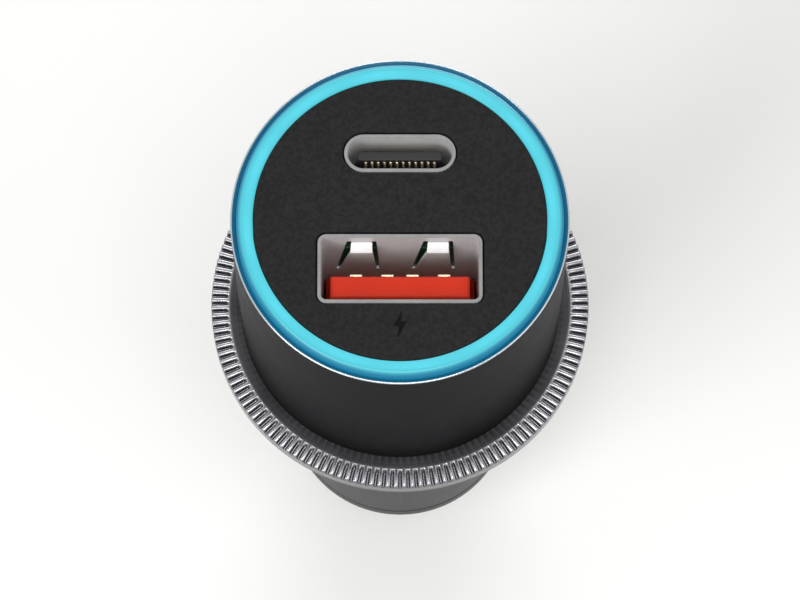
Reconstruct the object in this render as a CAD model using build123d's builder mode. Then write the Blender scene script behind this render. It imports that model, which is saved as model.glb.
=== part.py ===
from build123d import *
from math import cos, pi, sin, sqrt
import os

# Car charger plug with two ports: a round head with a lit ring round its face,
# a fluted collar that seats on the socket's rim, and a barrel with a sprung tip.
# Millimetres. The origin is the middle of the collar's underside, +Z leaves the socket.
os.makedirs("parts", exist_ok=True)

# Fits
FIT = 0.1            # gap between pieces that are pushed together
SEAM = 0.05          # gap at a close seam, and round a pin in a board
GUIDE = 0.1          # gap round the sliding tip
PORT_GAP = 0.1       # gap round a port's shell in the face

# Barrel
BARREL_D = 20.8
BARREL_WALL = 1.4
BARREL_LENGTH = 33.0
LAND_LENGTH = 10.0   # full diameter under the collar
BARREL_RELIEF = 0.3  # the rest is smaller by this in radius
NECK_STEP = 0.5      # the neck through the collar and the head is smaller by this in radius
NECK_RISE = 0.4      # neck above the head's floor

# Fluted collar
COLLAR_D = 32.0
COLLAR_HEIGHT = 2.0
FLUTES = 144
FLUTE_LENGTH = 1.6
FLUTE_WIDTH = 0.5    # at the collar's edge
FLUTE_DEPTH = 0.5

# Head
HEAD_D = 27.0
HEAD_WALL = 0.4
HEAD_FLOOR = 1.4
FACE_HEIGHT = 26.0   # face above the collar's underside
FACE_THICKNESS = 3.0
RIM_DROP = 0.5       # the shell's rim lies this far under the face

# Light ring, and the board with its lamps
RING_INNER_D = 23.5
RING_TOP_D = 25.5    # outer edge of the ring's flat top
RING_BOARD_BORE = 19.8
RING_BOARD_SIDES = 24
RING_BOARD_THICKNESS = 1.0
LEDS = 12
LED_LENGTH = 1.6
LED_WIDTH = 0.8
LED_HEIGHT = 0.55
LED_CIRCLE_D = 24.8

# Wide port
A_Y = -4.1
A_WIDTH = 13.1
A_HEIGHT = 5.7
A_CORNER = 0.7
A_DEPTH = 14.0
SHEET = 0.3
PORT_RECESS = 0.15   # both shells lie this far under the face
TONGUE_WIDTH = 11.1
TONGUE_THICKNESS = 1.84
TONGUE_RECESS = 1.0
TONGUE_STANDOFF = 0.4
TONGUE_BASE = 3.0
TONGUE_BASE_GAP = 0.15
TONGUE_BEVEL = 0.2
FINGER_X = 3.05      # middle of a finger's tip
FINGER_LEAN = 0.35   # root to the left of the tip by this
FINGER_TIP_WIDTH = 1.7
FINGER_ROOT_WIDTH = 2.9
FINGER_TIP_DEPTH = 1.4
FINGER_KNEE_DEPTH = 1.85
FINGER_ROOT_DEPTH = 8.5
FINGER_DIP = 0.75
FINGER_TIP_DIP = 0.1
FINGER_SLOT = 0.3
A_CONTACT_X = (-3.5, -1.0, 1.0, 3.5)
A_CONTACT_WIDTH = 1.0
A_CONTACT_THICKNESS = 0.2
A_CONTACT_BOW = 0.4
A_CONTACT_RECESS = 0.4
A_CONTACT_CREST = 2.2

# Narrow port
C_Y = 5.5
C_WIDTH = 8.94
C_HEIGHT = 3.16
C_DEPTH = 7.5
C_TONGUE_WIDTH = 6.69
C_TONGUE_THICKNESS = 0.7
C_TONGUE_RECESS = 0.8
C_BASE = 1.6
C_CONTACTS = 12
C_CONTACT_PITCH = 0.5
C_CONTACT_WIDTH = 0.25
C_CONTACT_LENGTH = 3.6
C_CONTACT_THICKNESS = 0.08
C_CONTACT_RECESS = 0.4

# Boards
MAIN_BOARD_THICKNESS = 1.6
BOARD_GAP = 0.3
TAIL_WIDTH = 12.6
TAIL_LENGTH = 24.0   # below the collar's underside
PORT_BOARD_THICKNESS = 1.2
PORT_BOARD_WIDTH = 14.0
PORT_BOARD_LENGTH = 8.5
LINK_PINS = 4
LINK_PITCH = 2.54
LINK_WIDTH = 0.64
LINK_RISE = 1.2      # pin row above the port board's lower edge
LINK_STUB = 0.5

# Components: width along X, height off the board, length along Z, and middle in X
PORT_SPACE = 1.1     # board left free behind the ports
INDUCTOR = (7.0, 4.2, 7.0)
INDUCTOR_X = -3.4
INDUCTOR_CORNER = 0.8
OUTPUT_CAP = (4.3, 2.8, 7.3)
OUTPUT_CAP_X = 4.2
INPUT_CAN_D = 6.3
INPUT_CAN_LENGTH = 9.0
INPUT_CAN_TOP = -2.0
CONTROLLER = (4.9, 1.5, 3.9)
CONTROLLER_X = -2.0
PORT_CHIP = (3.0, 0.9, 3.0)
PORT_CHIP_X = 4.6
DIODE = (2.7, 2.2, 4.4)
DIODE_TOP = 0.2
FUSE = (2.5, 1.2, 6.1)
FUSE_TOP = -13.0
SMALL_CHIP = (1.6, 0.7, 0.8)
SMALL_CHIP_APART = 8.4
SMALL_CHIP_SPACE = 1.1
SMALL_CHIP_ROWS = 3
SMALL_CHIP_TOP = 3.4

# Side contacts
SIDE_WIDTH = 5.0
SIDE_THICKNESS = 0.5
SIDE_PROUD = 1.1     # bow's crest out of the barrel, with nothing pressing on it
SIDE_TOP = -12.0
SIDE_LENGTH = 15.0
SIDE_CREST = 4.0     # flat of the bow
SIDE_FOOT = 1.4
SIDE_SLOT_GAP = 0.3
WIPER_REACH = 5.0
WIPER_THICKNESS = 0.4

# Nose, tip and spring
NOSE_LENGTH = 5.0
NOSE_END_D = 10.4
NOSE_FLOOR = 5.5     # solid nose round the tip
TIP_D = 6.5
TIP_PROUD = 5.0
TIP_END_D = 4.6
TIP_END_DROP = 0.9
FLANGE_D = 9.0
FLANGE_HEIGHT = 1.0
TERMINAL = (7.6, 7.6)
TERMINAL_THICKNESS = 0.5
TERMINAL_TAB = (3.0, 0.4, 3.0)
SPRING_WIRE = 0.6
SPRING_COIL_D = 6.2
SPRING_TURNS = 4
SPRING_STEPS = 12    # straight runs to a turn

# Barrel and head, worked out from the sizes above
barrel_r = BARREL_D / 2
bore_r = barrel_r - BARREL_WALL
lower_r = barrel_r - BARREL_RELIEF
neck_r = barrel_r - NECK_STEP
floor_top = COLLAR_HEIGHT + HEAD_FLOOR
neck_top = floor_top + NECK_RISE
collar_r = COLLAR_D / 2
flute_start = collar_r - FLUTE_LENGTH
head_r = HEAD_D / 2
head_bore_r = head_r - HEAD_WALL
rim_top = FACE_HEIGHT - RIM_DROP
face_under = FACE_HEIGHT - FACE_THICKNESS
ring_board_under = face_under - RING_BOARD_THICKNESS
ring_under = face_under + LED_HEIGHT + SEAM

# Ports
mouth = FACE_HEIGHT - PORT_RECESS
a_inner_width = A_WIDTH - 2 * SHEET
a_inner_height = A_HEIGHT - 2 * SHEET
a_back = mouth - A_DEPTH
a_wall = A_Y + A_HEIGHT / 2
tongue_low = A_Y - a_inner_height / 2 + TONGUE_STANDOFF
tongue_high = tongue_low + TONGUE_THICKNESS
tongue_top = mouth - TONGUE_RECESS
tongue_base_top = a_back + TONGUE_BASE
finger_root = mouth - FINGER_ROOT_DEPTH
finger_knee = mouth - FINGER_KNEE_DEPTH
finger_tip = mouth - FINGER_TIP_DEPTH
c_back = mouth - C_DEPTH
c_inner_width = C_WIDTH - 2 * SHEET
c_inner_height = C_HEIGHT - 2 * SHEET
c_tongue_top = mouth - C_TONGUE_RECESS

# Boards: the main one lies against the wide port's shell, the other carries the narrow port
board_low = a_wall
board_high = board_low + MAIN_BOARD_THICKNESS
board_half = sqrt(head_bore_r**2 - max(abs(board_low), abs(board_high))**2) - BOARD_GAP
tail_half = TAIL_WIDTH / 2
port_board_high = C_Y - C_HEIGHT / 2
port_board_low = port_board_high - PORT_BOARD_THICKNESS
port_board_top = ring_board_under - FIT
port_board_bottom = port_board_top - PORT_BOARD_LENGTH
link_z = port_board_bottom + LINK_RISE
can_top = port_board_bottom - PORT_SPACE
chip_top = a_back - PORT_SPACE
small_chip_step = SMALL_CHIP[2] + SMALL_CHIP_SPACE

# Contacts and nose
side_reach = barrel_r + SIDE_PROUD
foot_x = sqrt((bore_r - FIT)**2 - (SIDE_WIDTH / 2)**2)
side_bottom = SIDE_TOP - SIDE_LENGTH
side_mid = SIDE_TOP - SIDE_LENGTH / 2
nose_end = -BARREL_LENGTH - NOSE_LENGTH
nose_floor = nose_end + NOSE_FLOOR
tip_r = TIP_D / 2
tip_end = nose_end - TIP_PROUD
flange_under = nose_floor + SEAM
flange_top = flange_under + FLANGE_HEIGHT
terminal_under = -TAIL_LENGTH - TERMINAL_THICKNESS

# Planes on the main board's two sides
port_side = Plane.XZ.offset(-board_low)
can_side = Plane.XZ.offset(-board_high)


# Barrel: neck, full-diameter land, relieved lower part and tapered nose, with contact slots
with BuildPart() as barrel_housing:
    with BuildSketch(Plane.XZ):
        with BuildLine():
            Polyline(
                (bore_r, nose_floor),
                (tip_r + GUIDE, nose_floor),
                (tip_r + GUIDE, nose_end),
                (NOSE_END_D / 2, nose_end),
                (lower_r, -BARREL_LENGTH),
                (lower_r, -LAND_LENGTH - BARREL_RELIEF),
                (barrel_r, -LAND_LENGTH),
                (barrel_r, 0),
                (neck_r, NECK_STEP),
                (neck_r, neck_top),
                (bore_r, neck_top),
                close=True,
            )
        make_face()
    revolve(axis=Axis.Z)
    with BuildSketch(Plane.YZ):
        with Locations((0, side_mid)):
            Rectangle(SIDE_WIDTH + 2 * SIDE_SLOT_GAP, SIDE_LENGTH + 2 * SIDE_SLOT_GAP)
    extrude(amount=BARREL_D, both=True, mode=Mode.SUBTRACT)
barrel_housing.part.label = "barrel_housing"
export_step(barrel_housing.part, "parts/barrel_housing.step")

# One flute: a groove that deepens towards the collar's edge
flute_end = Plane(
    (flute_start, 0, COLLAR_HEIGHT), x_dir=(0, 1, 0), z_dir=(FLUTE_LENGTH, 0, -FLUTE_DEPTH)
)
with BuildPart() as flute:
    with BuildSketch(flute_end):
        with BuildLine():
            Polyline(
                (0, 0),
                (FLUTE_WIDTH, 2 * FLUTE_DEPTH),
                (-FLUTE_WIDTH, 2 * FLUTE_DEPTH),
                close=True,
            )
        make_face()
    extrude(amount=2 * FLUTE_LENGTH)

# Collar: ring on the barrel's cone, one flat of its edge for each land between flutes
with BuildPart() as fluted_collar:
    with BuildSketch():
        RegularPolygon(collar_r, FLUTES)
    extrude(amount=COLLAR_HEIGHT)
    with BuildSketch(Plane.XZ):
        with BuildLine():
            Polyline(
                (0, 0),
                (barrel_r + FIT, 0),
                (neck_r + FIT, NECK_STEP),
                (neck_r + FIT, COLLAR_HEIGHT),
                (0, COLLAR_HEIGHT),
                close=True,
            )
        make_face()
    revolve(axis=Axis.Z, mode=Mode.SUBTRACT)
    with PolarLocations(0, FLUTES):
        add(flute.part, mode=Mode.SUBTRACT)
fluted_collar.part.label = "fluted_collar"
export_step(fluted_collar.part, "parts/fluted_collar.step")

# Head: thin cup, with the light ring inside its rim
with BuildPart() as head_shell:
    with BuildSketch(Plane.XZ):
        with BuildLine():
            Polyline(
                (neck_r + FIT, COLLAR_HEIGHT),
                (head_r, COLLAR_HEIGHT),
                (head_r, rim_top),
                (head_bore_r, rim_top),
                (head_bore_r, floor_top),
                (neck_r + FIT, floor_top),
                close=True,
            )
        make_face()
    revolve(axis=Axis.Z)
head_shell.part.label = "head_shell"
export_step(head_shell.part, "parts/head_shell.step")

# Light ring: clear ring with a bevel down to the rim
with BuildPart() as light_ring:
    with BuildSketch(Plane.XZ):
        with BuildLine():
            Polyline(
                (RING_INNER_D / 2, ring_under),
                (head_bore_r - SEAM, ring_under),
                (head_bore_r - SEAM, rim_top),
                (RING_TOP_D / 2, FACE_HEIGHT),
                (RING_INNER_D / 2, FACE_HEIGHT),
                close=True,
            )
        make_face()
    revolve(axis=Axis.Z)
light_ring.part.label = "light_ring"
export_step(light_ring.part, "parts/light_ring.step")

# Face: thick disc with the two port openings, on the lamp board
with BuildPart() as face_plate:
    with BuildSketch(Plane.XY.offset(face_under)):
        Circle(RING_INNER_D / 2 - SEAM)
        with Locations((0, A_Y)):
            RectangleRounded(
                A_WIDTH + 2 * PORT_GAP,
                A_HEIGHT + 2 * PORT_GAP,
                A_CORNER + PORT_GAP,
                mode=Mode.SUBTRACT,
            )
        with Locations((0, C_Y)):
            SlotOverall(C_WIDTH + 2 * PORT_GAP, C_HEIGHT + 2 * PORT_GAP, mode=Mode.SUBTRACT)
    extrude(amount=FACE_THICKNESS)
face_plate.part.label = "face_plate"
export_step(face_plate.part, "parts/face_plate.step")

# Lamp board under the face and the ring, on the main board's top edge
with BuildPart() as ring_board:
    with BuildSketch(Plane.XY.offset(ring_board_under)):
        RegularPolygon(head_bore_r - FIT, RING_BOARD_SIDES)
        RegularPolygon(RING_BOARD_BORE / 2, RING_BOARD_SIDES, mode=Mode.SUBTRACT)
    extrude(amount=RING_BOARD_THICKNESS)
ring_board.part.label = "ring_board"
export_step(ring_board.part, "parts/ring_board.step")

# Lamps on that board, under the ring
with BuildPart() as ring_leds:
    with BuildSketch(Plane.XY.offset(face_under)):
        with PolarLocations(LED_CIRCLE_D / 2, LEDS, start_angle=180 / RING_BOARD_SIDES):
            Rectangle(LED_WIDTH, LED_LENGTH)
    extrude(amount=LED_HEIGHT)
ring_leds.part.label = "ring_leds"
export_step(ring_leds.part, "parts/ring_leds.step")

# One spring finger of the wide port: a bent strip cut to a taper
with BuildPart() as spring_finger:
    with BuildSketch(Plane.YZ):
        with BuildLine():
            Polyline(
                (a_wall, finger_root - SHEET),
                (a_wall, finger_root),
                (a_wall - FINGER_DIP, finger_knee),
                (a_wall - FINGER_TIP_DIP, finger_tip),
                (a_wall - FINGER_TIP_DIP - SHEET, finger_tip),
                (a_wall - FINGER_DIP - SHEET, finger_knee),
                (a_wall - SHEET, finger_root),
                (a_wall - SHEET, finger_root - SHEET),
                close=True,
            )
        make_face()
    extrude(amount=FINGER_ROOT_WIDTH, both=True)
    with BuildSketch(port_side):
        with BuildLine():
            Polyline(
                (-FINGER_ROOT_WIDTH / 2, finger_root - SHEET),
                (-FINGER_ROOT_WIDTH / 2, finger_root),
                (FINGER_LEAN - FINGER_TIP_WIDTH / 2, finger_tip),
                (FINGER_LEAN + FINGER_TIP_WIDTH / 2, finger_tip),
                (FINGER_ROOT_WIDTH / 2, finger_root),
                (FINGER_ROOT_WIDTH / 2, finger_root - SHEET),
                close=True,
            )
        make_face()
    extrude(amount=A_HEIGHT, both=True, mode=Mode.INTERSECT)

# Wide port's shell: folded sheet tube, with a slot round each finger
with BuildPart() as usb_a_shell:
    with BuildSketch(Plane.XY.offset(a_back)):
        with Locations((0, A_Y)):
            RectangleRounded(A_WIDTH, A_HEIGHT, A_CORNER)
            RectangleRounded(a_inner_width, a_inner_height, A_CORNER - SHEET, mode=Mode.SUBTRACT)
    extrude(amount=A_DEPTH)
    with BuildSketch(port_side):
        with Locations((-FINGER_X - FINGER_LEAN, 0), (FINGER_X - FINGER_LEAN, 0)):
            Polygon(
                (-FINGER_ROOT_WIDTH / 2 - FINGER_SLOT, finger_root),
                (FINGER_LEAN - FINGER_TIP_WIDTH / 2 - FINGER_SLOT, finger_tip + FINGER_SLOT),
                (FINGER_LEAN + FINGER_TIP_WIDTH / 2 + FINGER_SLOT, finger_tip + FINGER_SLOT),
                (FINGER_ROOT_WIDTH / 2 + FINGER_SLOT, finger_root),
                align=None,
            )
    extrude(amount=A_HEIGHT / 2, mode=Mode.SUBTRACT)
    with Locations((-FINGER_X - FINGER_LEAN, 0, 0), (FINGER_X - FINGER_LEAN, 0, 0)):
        add(spring_finger.part)
usb_a_shell.part.label = "usb_a_shell"
export_step(usb_a_shell.part, "parts/usb_a_shell.step")

# Wide port's moulding: base in the back of the shell, and the tongue
with BuildPart() as usb_a_tongue:
    with BuildSketch(Plane.XY.offset(a_back)):
        with Locations((0, A_Y)):
            Rectangle(a_inner_width - 2 * TONGUE_BASE_GAP, a_inner_height - 2 * TONGUE_BASE_GAP)
    extrude(amount=TONGUE_BASE)
    with BuildSketch(Plane.XY.offset(a_back)):
        with Locations((0, (tongue_low + tongue_high) / 2)):
            Rectangle(TONGUE_WIDTH, TONGUE_THICKNESS)
    extrude(amount=tongue_top - a_back)
    chamfer(usb_a_tongue.faces().sort_by(Axis.Z)[-1].edges(), TONGUE_BEVEL)
usb_a_tongue.part.label = "usb_a_tongue"
export_step(usb_a_tongue.part, "parts/usb_a_tongue.step")

# Wide port's contacts: bowed strips on the tongue
with BuildPart() as usb_a_contacts:
    contact_end = tongue_top - A_CONTACT_RECESS
    for contact_x in A_CONTACT_X:
        with BuildSketch(Plane.YZ.offset(contact_x)):
            with BuildLine():
                Polyline(
                    (tongue_high, tongue_base_top),
                    (tongue_high + A_CONTACT_BOW, contact_end - A_CONTACT_CREST),
                    (tongue_high, contact_end),
                    (tongue_high + A_CONTACT_THICKNESS, contact_end),
                    (tongue_high + A_CONTACT_BOW + A_CONTACT_THICKNESS, contact_end - A_CONTACT_CREST),
                    (tongue_high + A_CONTACT_THICKNESS, tongue_base_top),
                    close=True,
                )
            make_face()
        extrude(amount=A_CONTACT_WIDTH / 2, both=True)
usb_a_contacts.part.label = "usb_a_contacts"
export_step(usb_a_contacts.part, "parts/usb_a_contacts.step")

# Narrow port's shell
with BuildPart() as usb_c_shell:
    with BuildSketch(Plane.XY.offset(c_back)):
        with Locations((0, C_Y)):
            SlotOverall(C_WIDTH, C_HEIGHT)
            SlotOverall(c_inner_width, c_inner_height, mode=Mode.SUBTRACT)
    extrude(amount=C_DEPTH)
usb_c_shell.part.label = "usb_c_shell"
export_step(usb_c_shell.part, "parts/usb_c_shell.step")

# Narrow port's moulding: base and centre tongue
with BuildPart() as usb_c_tongue:
    with BuildSketch(Plane.XY.offset(c_back)):
        with Locations((0, C_Y)):
            SlotOverall(c_inner_width - 2 * SEAM, c_inner_height - 2 * SEAM)
    extrude(amount=C_BASE)
    with BuildSketch(Plane.XY.offset(c_back)):
        with Locations((0, C_Y)):
            Rectangle(C_TONGUE_WIDTH, C_TONGUE_THICKNESS)
    extrude(amount=c_tongue_top - c_back)
usb_c_tongue.part.label = "usb_c_tongue"
export_step(usb_c_tongue.part, "parts/usb_c_tongue.step")

# Narrow port's contacts: a row on each side of the tongue
with BuildPart() as usb_c_contacts:
    with BuildSketch(Plane.XY.offset(c_tongue_top - C_CONTACT_RECESS)):
        with Locations((0, C_Y)):
            with GridLocations(
                C_CONTACT_PITCH, C_TONGUE_THICKNESS + C_CONTACT_THICKNESS, C_CONTACTS, 2
            ):
                Rectangle(C_CONTACT_WIDTH, C_CONTACT_THICKNESS)
    extrude(amount=-C_CONTACT_LENGTH)
usb_c_contacts.part.label = "usb_c_contacts"
export_step(usb_c_contacts.part, "parts/usb_c_contacts.step")

# Main board: wide in the head on the neck's top edge, with a tail down the barrel
with BuildPart() as main_board:
    with BuildSketch(can_side):
        with BuildLine():
            Polyline(
                (-board_half, ring_board_under),
                (-board_half, neck_top),
                (-tail_half, neck_top),
                (-tail_half, -TAIL_LENGTH),
                (tail_half, -TAIL_LENGTH),
                (tail_half, neck_top),
                (board_half, neck_top),
                (board_half, ring_board_under),
                close=True,
            )
        make_face()
        with Locations((0, link_z)):
            with GridLocations(LINK_PITCH, 1, LINK_PINS, 1):
                Rectangle(LINK_WIDTH + 2 * SEAM, LINK_WIDTH + 2 * SEAM, mode=Mode.SUBTRACT)
    extrude(amount=MAIN_BOARD_THICKNESS)
main_board.part.label = "main_board"
export_step(main_board.part, "parts/main_board.step")

# Small board behind the narrow port
with BuildPart() as port_board:
    with BuildSketch(Plane.XZ.offset(-port_board_high)):
        with Locations((0, port_board_top - PORT_BOARD_LENGTH / 2)):
            Rectangle(PORT_BOARD_WIDTH, PORT_BOARD_LENGTH)
        with Locations((0, link_z)):
            with GridLocations(LINK_PITCH, 1, LINK_PINS, 1):
                Rectangle(LINK_WIDTH + 2 * SEAM, LINK_WIDTH + 2 * SEAM, mode=Mode.SUBTRACT)
    extrude(amount=PORT_BOARD_THICKNESS)
port_board.part.label = "port_board"
export_step(port_board.part, "parts/port_board.step")

# Pins that join the two boards
with BuildPart() as board_link_pins:
    with BuildSketch(Plane.XZ.offset(-port_board_high - LINK_STUB)):
        with Locations((0, link_z)):
            with GridLocations(LINK_PITCH, 1, LINK_PINS, 1):
                Rectangle(LINK_WIDTH, LINK_WIDTH)
    extrude(amount=port_board_high + LINK_STUB - board_low - SEAM)
board_link_pins.part.label = "board_link_pins"
export_step(board_link_pins.part, "parts/board_link_pins.step")

# Inductor block with cut corners
with BuildPart() as power_inductor:
    with BuildSketch(can_side):
        with Locations((INDUCTOR_X, can_top - INDUCTOR[2] / 2)):
            Rectangle(INDUCTOR[0], INDUCTOR[2])
    extrude(amount=-INDUCTOR[1])
    chamfer(power_inductor.edges().filter_by(Axis.Y), INDUCTOR_CORNER)
power_inductor.part.label = "power_inductor"
export_step(power_inductor.part, "parts/power_inductor.step")

# Output capacitor block
with BuildPart() as output_capacitor:
    with BuildSketch(can_side):
        with Locations((OUTPUT_CAP_X, can_top - OUTPUT_CAP[2] / 2)):
            Rectangle(OUTPUT_CAP[0], OUTPUT_CAP[2])
    extrude(amount=-OUTPUT_CAP[1])
output_capacitor.part.label = "output_capacitor"
export_step(output_capacitor.part, "parts/output_capacitor.step")

# Input capacitor, lying along the tail
with BuildPart() as input_capacitor:
    with BuildSketch(Plane.XY.offset(INPUT_CAN_TOP)):
        with Locations((0, board_high + INPUT_CAN_D / 2 + SEAM)):
            Circle(INPUT_CAN_D / 2)
    extrude(amount=-INPUT_CAN_LENGTH)
input_capacitor.part.label = "input_capacitor"
export_step(input_capacitor.part, "parts/input_capacitor.step")

# Flat components on the other side
for chip_name, chip_size, chip_x, chip_z in (
    ("controller_chip", CONTROLLER, CONTROLLER_X, chip_top),
    ("port_chip", PORT_CHIP, PORT_CHIP_X, chip_top),
    ("surge_diode", DIODE, 0, DIODE_TOP),
    ("fuse_chip", FUSE, 0, FUSE_TOP),
):
    with BuildPart() as chip:
        with BuildSketch(port_side):
            with Locations((chip_x, chip_z - chip_size[2] / 2)):
                Rectangle(chip_size[0], chip_size[2])
        extrude(amount=chip_size[1])
    chip.part.label = chip_name
    export_step(chip.part, f"parts/{chip_name}.step")

# Small resistors and capacitors in two rows
with BuildPart() as small_chips:
    with BuildSketch(port_side):
        with Locations((0, SMALL_CHIP_TOP - small_chip_step * SMALL_CHIP_ROWS / 2)):
            with GridLocations(SMALL_CHIP_APART, small_chip_step, 2, SMALL_CHIP_ROWS):
                Rectangle(SMALL_CHIP[0], SMALL_CHIP[2])
    extrude(amount=SMALL_CHIP[1])
small_chips.part.label = "small_chips"
export_step(small_chips.part, "parts/small_chips.step")

# Side contacts: bowed leaves with feet behind the barrel's wall and a wiper on the board
for side_name, side in (("left", -1), ("right", 1)):
    with BuildPart() as side_contact:
        with BuildSketch(Plane((0, 0, 0), x_dir=(side, 0, 0), z_dir=(0, -side, 0))):
            with BuildLine():
                Polyline(
                    (foot_x, SIDE_TOP + SIDE_FOOT),
                    (foot_x, SIDE_TOP),
                    (side_reach, side_mid + SIDE_CREST / 2),
                    (side_reach, side_mid - SIDE_CREST / 2),
                    (foot_x, side_bottom),
                    (foot_x, side_bottom - SIDE_FOOT),
                    (foot_x - SIDE_THICKNESS, side_bottom - SIDE_FOOT),
                    (foot_x - SIDE_THICKNESS, side_bottom),
                    (side_reach - SIDE_THICKNESS, side_mid - SIDE_CREST / 2),
                    (side_reach - SIDE_THICKNESS, side_mid + SIDE_CREST / 2),
                    (foot_x - SIDE_THICKNESS, SIDE_TOP),
                    (foot_x - SIDE_THICKNESS, SIDE_TOP + SIDE_FOOT),
                    close=True,
                )
            make_face()
        extrude(amount=SIDE_WIDTH / 2, both=True)
        with BuildSketch(can_side.offset(-SEAM)):
            with Locations((side * (WIPER_REACH + foot_x) / 2, SIDE_TOP + SIDE_FOOT / 2)):
                Rectangle(foot_x - WIPER_REACH, SIDE_FOOT)
        extrude(amount=-WIPER_THICKNESS)
    side_contact.part.label = f"side_contact_{side_name}"
    export_step(side_contact.part, f"parts/side_contact_{side_name}.step")

# Tip: turned pin with a flange that rests on the nose's floor
with BuildPart() as tip_contact:
    with BuildSketch(Plane.XZ):
        with BuildLine():
            Polyline(
                (0, tip_end),
                (TIP_END_D / 2, tip_end),
                (tip_r, tip_end + TIP_END_DROP),
                (tip_r, flange_under),
                (FLANGE_D / 2, flange_under),
                (FLANGE_D / 2, flange_top),
                (0, flange_top),
                close=True,
            )
        make_face()
    revolve(axis=Axis.Z)
tip_contact.part.label = "tip_contact"
export_step(tip_contact.part, "parts/tip_contact.step")

# Spring seat: plate under the board's end, with a tab soldered to its side
with BuildPart() as tip_terminal:
    with BuildSketch(Plane.XY.offset(terminal_under)):
        Rectangle(*TERMINAL)
    extrude(amount=TERMINAL_THICKNESS)
    with BuildSketch(can_side):
        with Locations((0, terminal_under + (TERMINAL_TAB[2] + TERMINAL_THICKNESS) / 2)):
            Rectangle(TERMINAL_TAB[0], TERMINAL_TAB[2] + TERMINAL_THICKNESS)
    extrude(amount=-TERMINAL_TAB[1])
tip_terminal.part.label = "tip_terminal"
export_step(tip_terminal.part, "parts/tip_terminal.step")

# Spring between the seat and the tip's flange, a helix in short straight runs
with BuildPart() as tip_spring:
    spring_start = flange_top + SPRING_WIRE / 2 + FIT
    spring_rise = terminal_under - SPRING_WIRE / 2 - FIT - spring_start
    spring_runs = SPRING_TURNS * SPRING_STEPS
    with BuildLine() as coil:
        Polyline(
            *(
                (
                    SPRING_COIL_D / 2 * cos(2 * pi * run / SPRING_STEPS),
                    SPRING_COIL_D / 2 * sin(2 * pi * run / SPRING_STEPS),
                    spring_start + spring_rise * run / spring_runs,
                )
                for run in range(spring_runs + 1)
            )
        )
    with BuildSketch(Plane(coil.line @ 0, x_dir=(1, 0, 0), z_dir=coil.line % 0)):
        Rectangle(SPRING_WIRE, SPRING_WIRE)
    sweep(path=coil.line, transition=Transition.RIGHT)
tip_spring.part.label = "tip_spring"
export_step(tip_spring.part, "parts/tip_spring.step")
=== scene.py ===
"""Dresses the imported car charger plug: its pieces, their finishes, the light and the camera."""

import math

import bmesh
import bpy
from mathutils import Matrix, Vector


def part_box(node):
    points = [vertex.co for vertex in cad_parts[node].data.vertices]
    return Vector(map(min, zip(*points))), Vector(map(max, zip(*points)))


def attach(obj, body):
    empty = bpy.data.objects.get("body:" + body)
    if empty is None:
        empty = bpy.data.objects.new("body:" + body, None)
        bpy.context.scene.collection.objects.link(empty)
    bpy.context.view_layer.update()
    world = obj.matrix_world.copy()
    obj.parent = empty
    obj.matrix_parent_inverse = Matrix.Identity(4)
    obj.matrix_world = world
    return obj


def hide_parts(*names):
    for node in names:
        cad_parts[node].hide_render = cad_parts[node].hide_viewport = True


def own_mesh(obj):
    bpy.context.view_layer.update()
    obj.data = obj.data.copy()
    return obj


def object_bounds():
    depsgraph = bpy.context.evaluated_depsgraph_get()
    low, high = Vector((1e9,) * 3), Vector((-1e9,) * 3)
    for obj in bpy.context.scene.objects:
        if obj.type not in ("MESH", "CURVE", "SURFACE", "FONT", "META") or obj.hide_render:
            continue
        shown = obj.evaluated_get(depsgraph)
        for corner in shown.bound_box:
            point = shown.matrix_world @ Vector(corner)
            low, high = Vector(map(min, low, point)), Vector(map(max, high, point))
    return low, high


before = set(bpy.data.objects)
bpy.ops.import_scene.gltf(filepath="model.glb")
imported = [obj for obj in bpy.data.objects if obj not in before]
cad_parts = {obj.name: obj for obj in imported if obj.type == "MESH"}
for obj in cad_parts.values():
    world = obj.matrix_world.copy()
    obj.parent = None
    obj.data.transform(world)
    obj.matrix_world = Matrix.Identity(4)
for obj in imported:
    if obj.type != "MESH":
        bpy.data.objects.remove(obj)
CAD_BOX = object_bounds()

bl_info = {
    "name": "Car charger plug",
    "version": (1, 0, 0),
    "blender": (4, 5, 0),
    "location": "3D View > Sidebar > Charger",
    "description": "Builds the visible pieces of a car charger plug over its CAD frame",
    "category": "Object",
}

MM = 0.001
WELD = 1e-7  # points nearer than this are one
CAD_WELD = 1e-6  # the same for the loose triangles of a CAD node
SLIVER = 1e-8  # edges shorter than this go
CAD_FLAT = math.radians(0.5)  # triangles of a CAD node within this angle are one flat

# Straight runs in a full turn of a large piece, the tip and the can, and in the tip's dome
ROUND_STEPS = 192
TIP_STEPS = 96
CAN_STEPS = 64
DOME_STEPS = 12

# Small steps and roundings of the head
RING_LIP, RING_SHOULDER, RING_EDGE = 0.12 * MM, 0.3 * MM, 0.06 * MM
SHELL_CORNER, SHELL_EDGE, RIM_EDGE = 0.3 * MM, 0.05 * MM, 0.03 * MM
MARK_DEPTH, MARK_PROUD = 0.02 * MM, 0.008 * MM

# Collar: rounded top edge, chamfered lower edge, how far a groove runs down the side, its easing
COLLAR_BRIM, COLLAR_FOOT = 0.08 * MM, 0.15 * MM
FLUTE_FALL, FLUTE_EDGE = 0.75 * MM, 0.03 * MM

# Barrel: roundings, and the moulded line above the nose
NOSE_ROUND, CONE_ROUND, BORE_ROUND = 0.6 * MM, 1.2 * MM, 0.3 * MM
SOFT_EDGE, CRISP_EDGE, SLOT_EDGE = 0.12 * MM, 0.04 * MM, 0.1 * MM
LINE_PLACE, LINE_WIDTH, LINE_DEPTH = 1.6 * MM, 0.32 * MM, 0.16 * MM

# Side contacts: edges, and the wiper's thickness and gap to the board
LEAF_EDGE, WIPER, WIPER_GAP = 0.08 * MM, 0.4 * MM, 0.05 * MM
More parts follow.
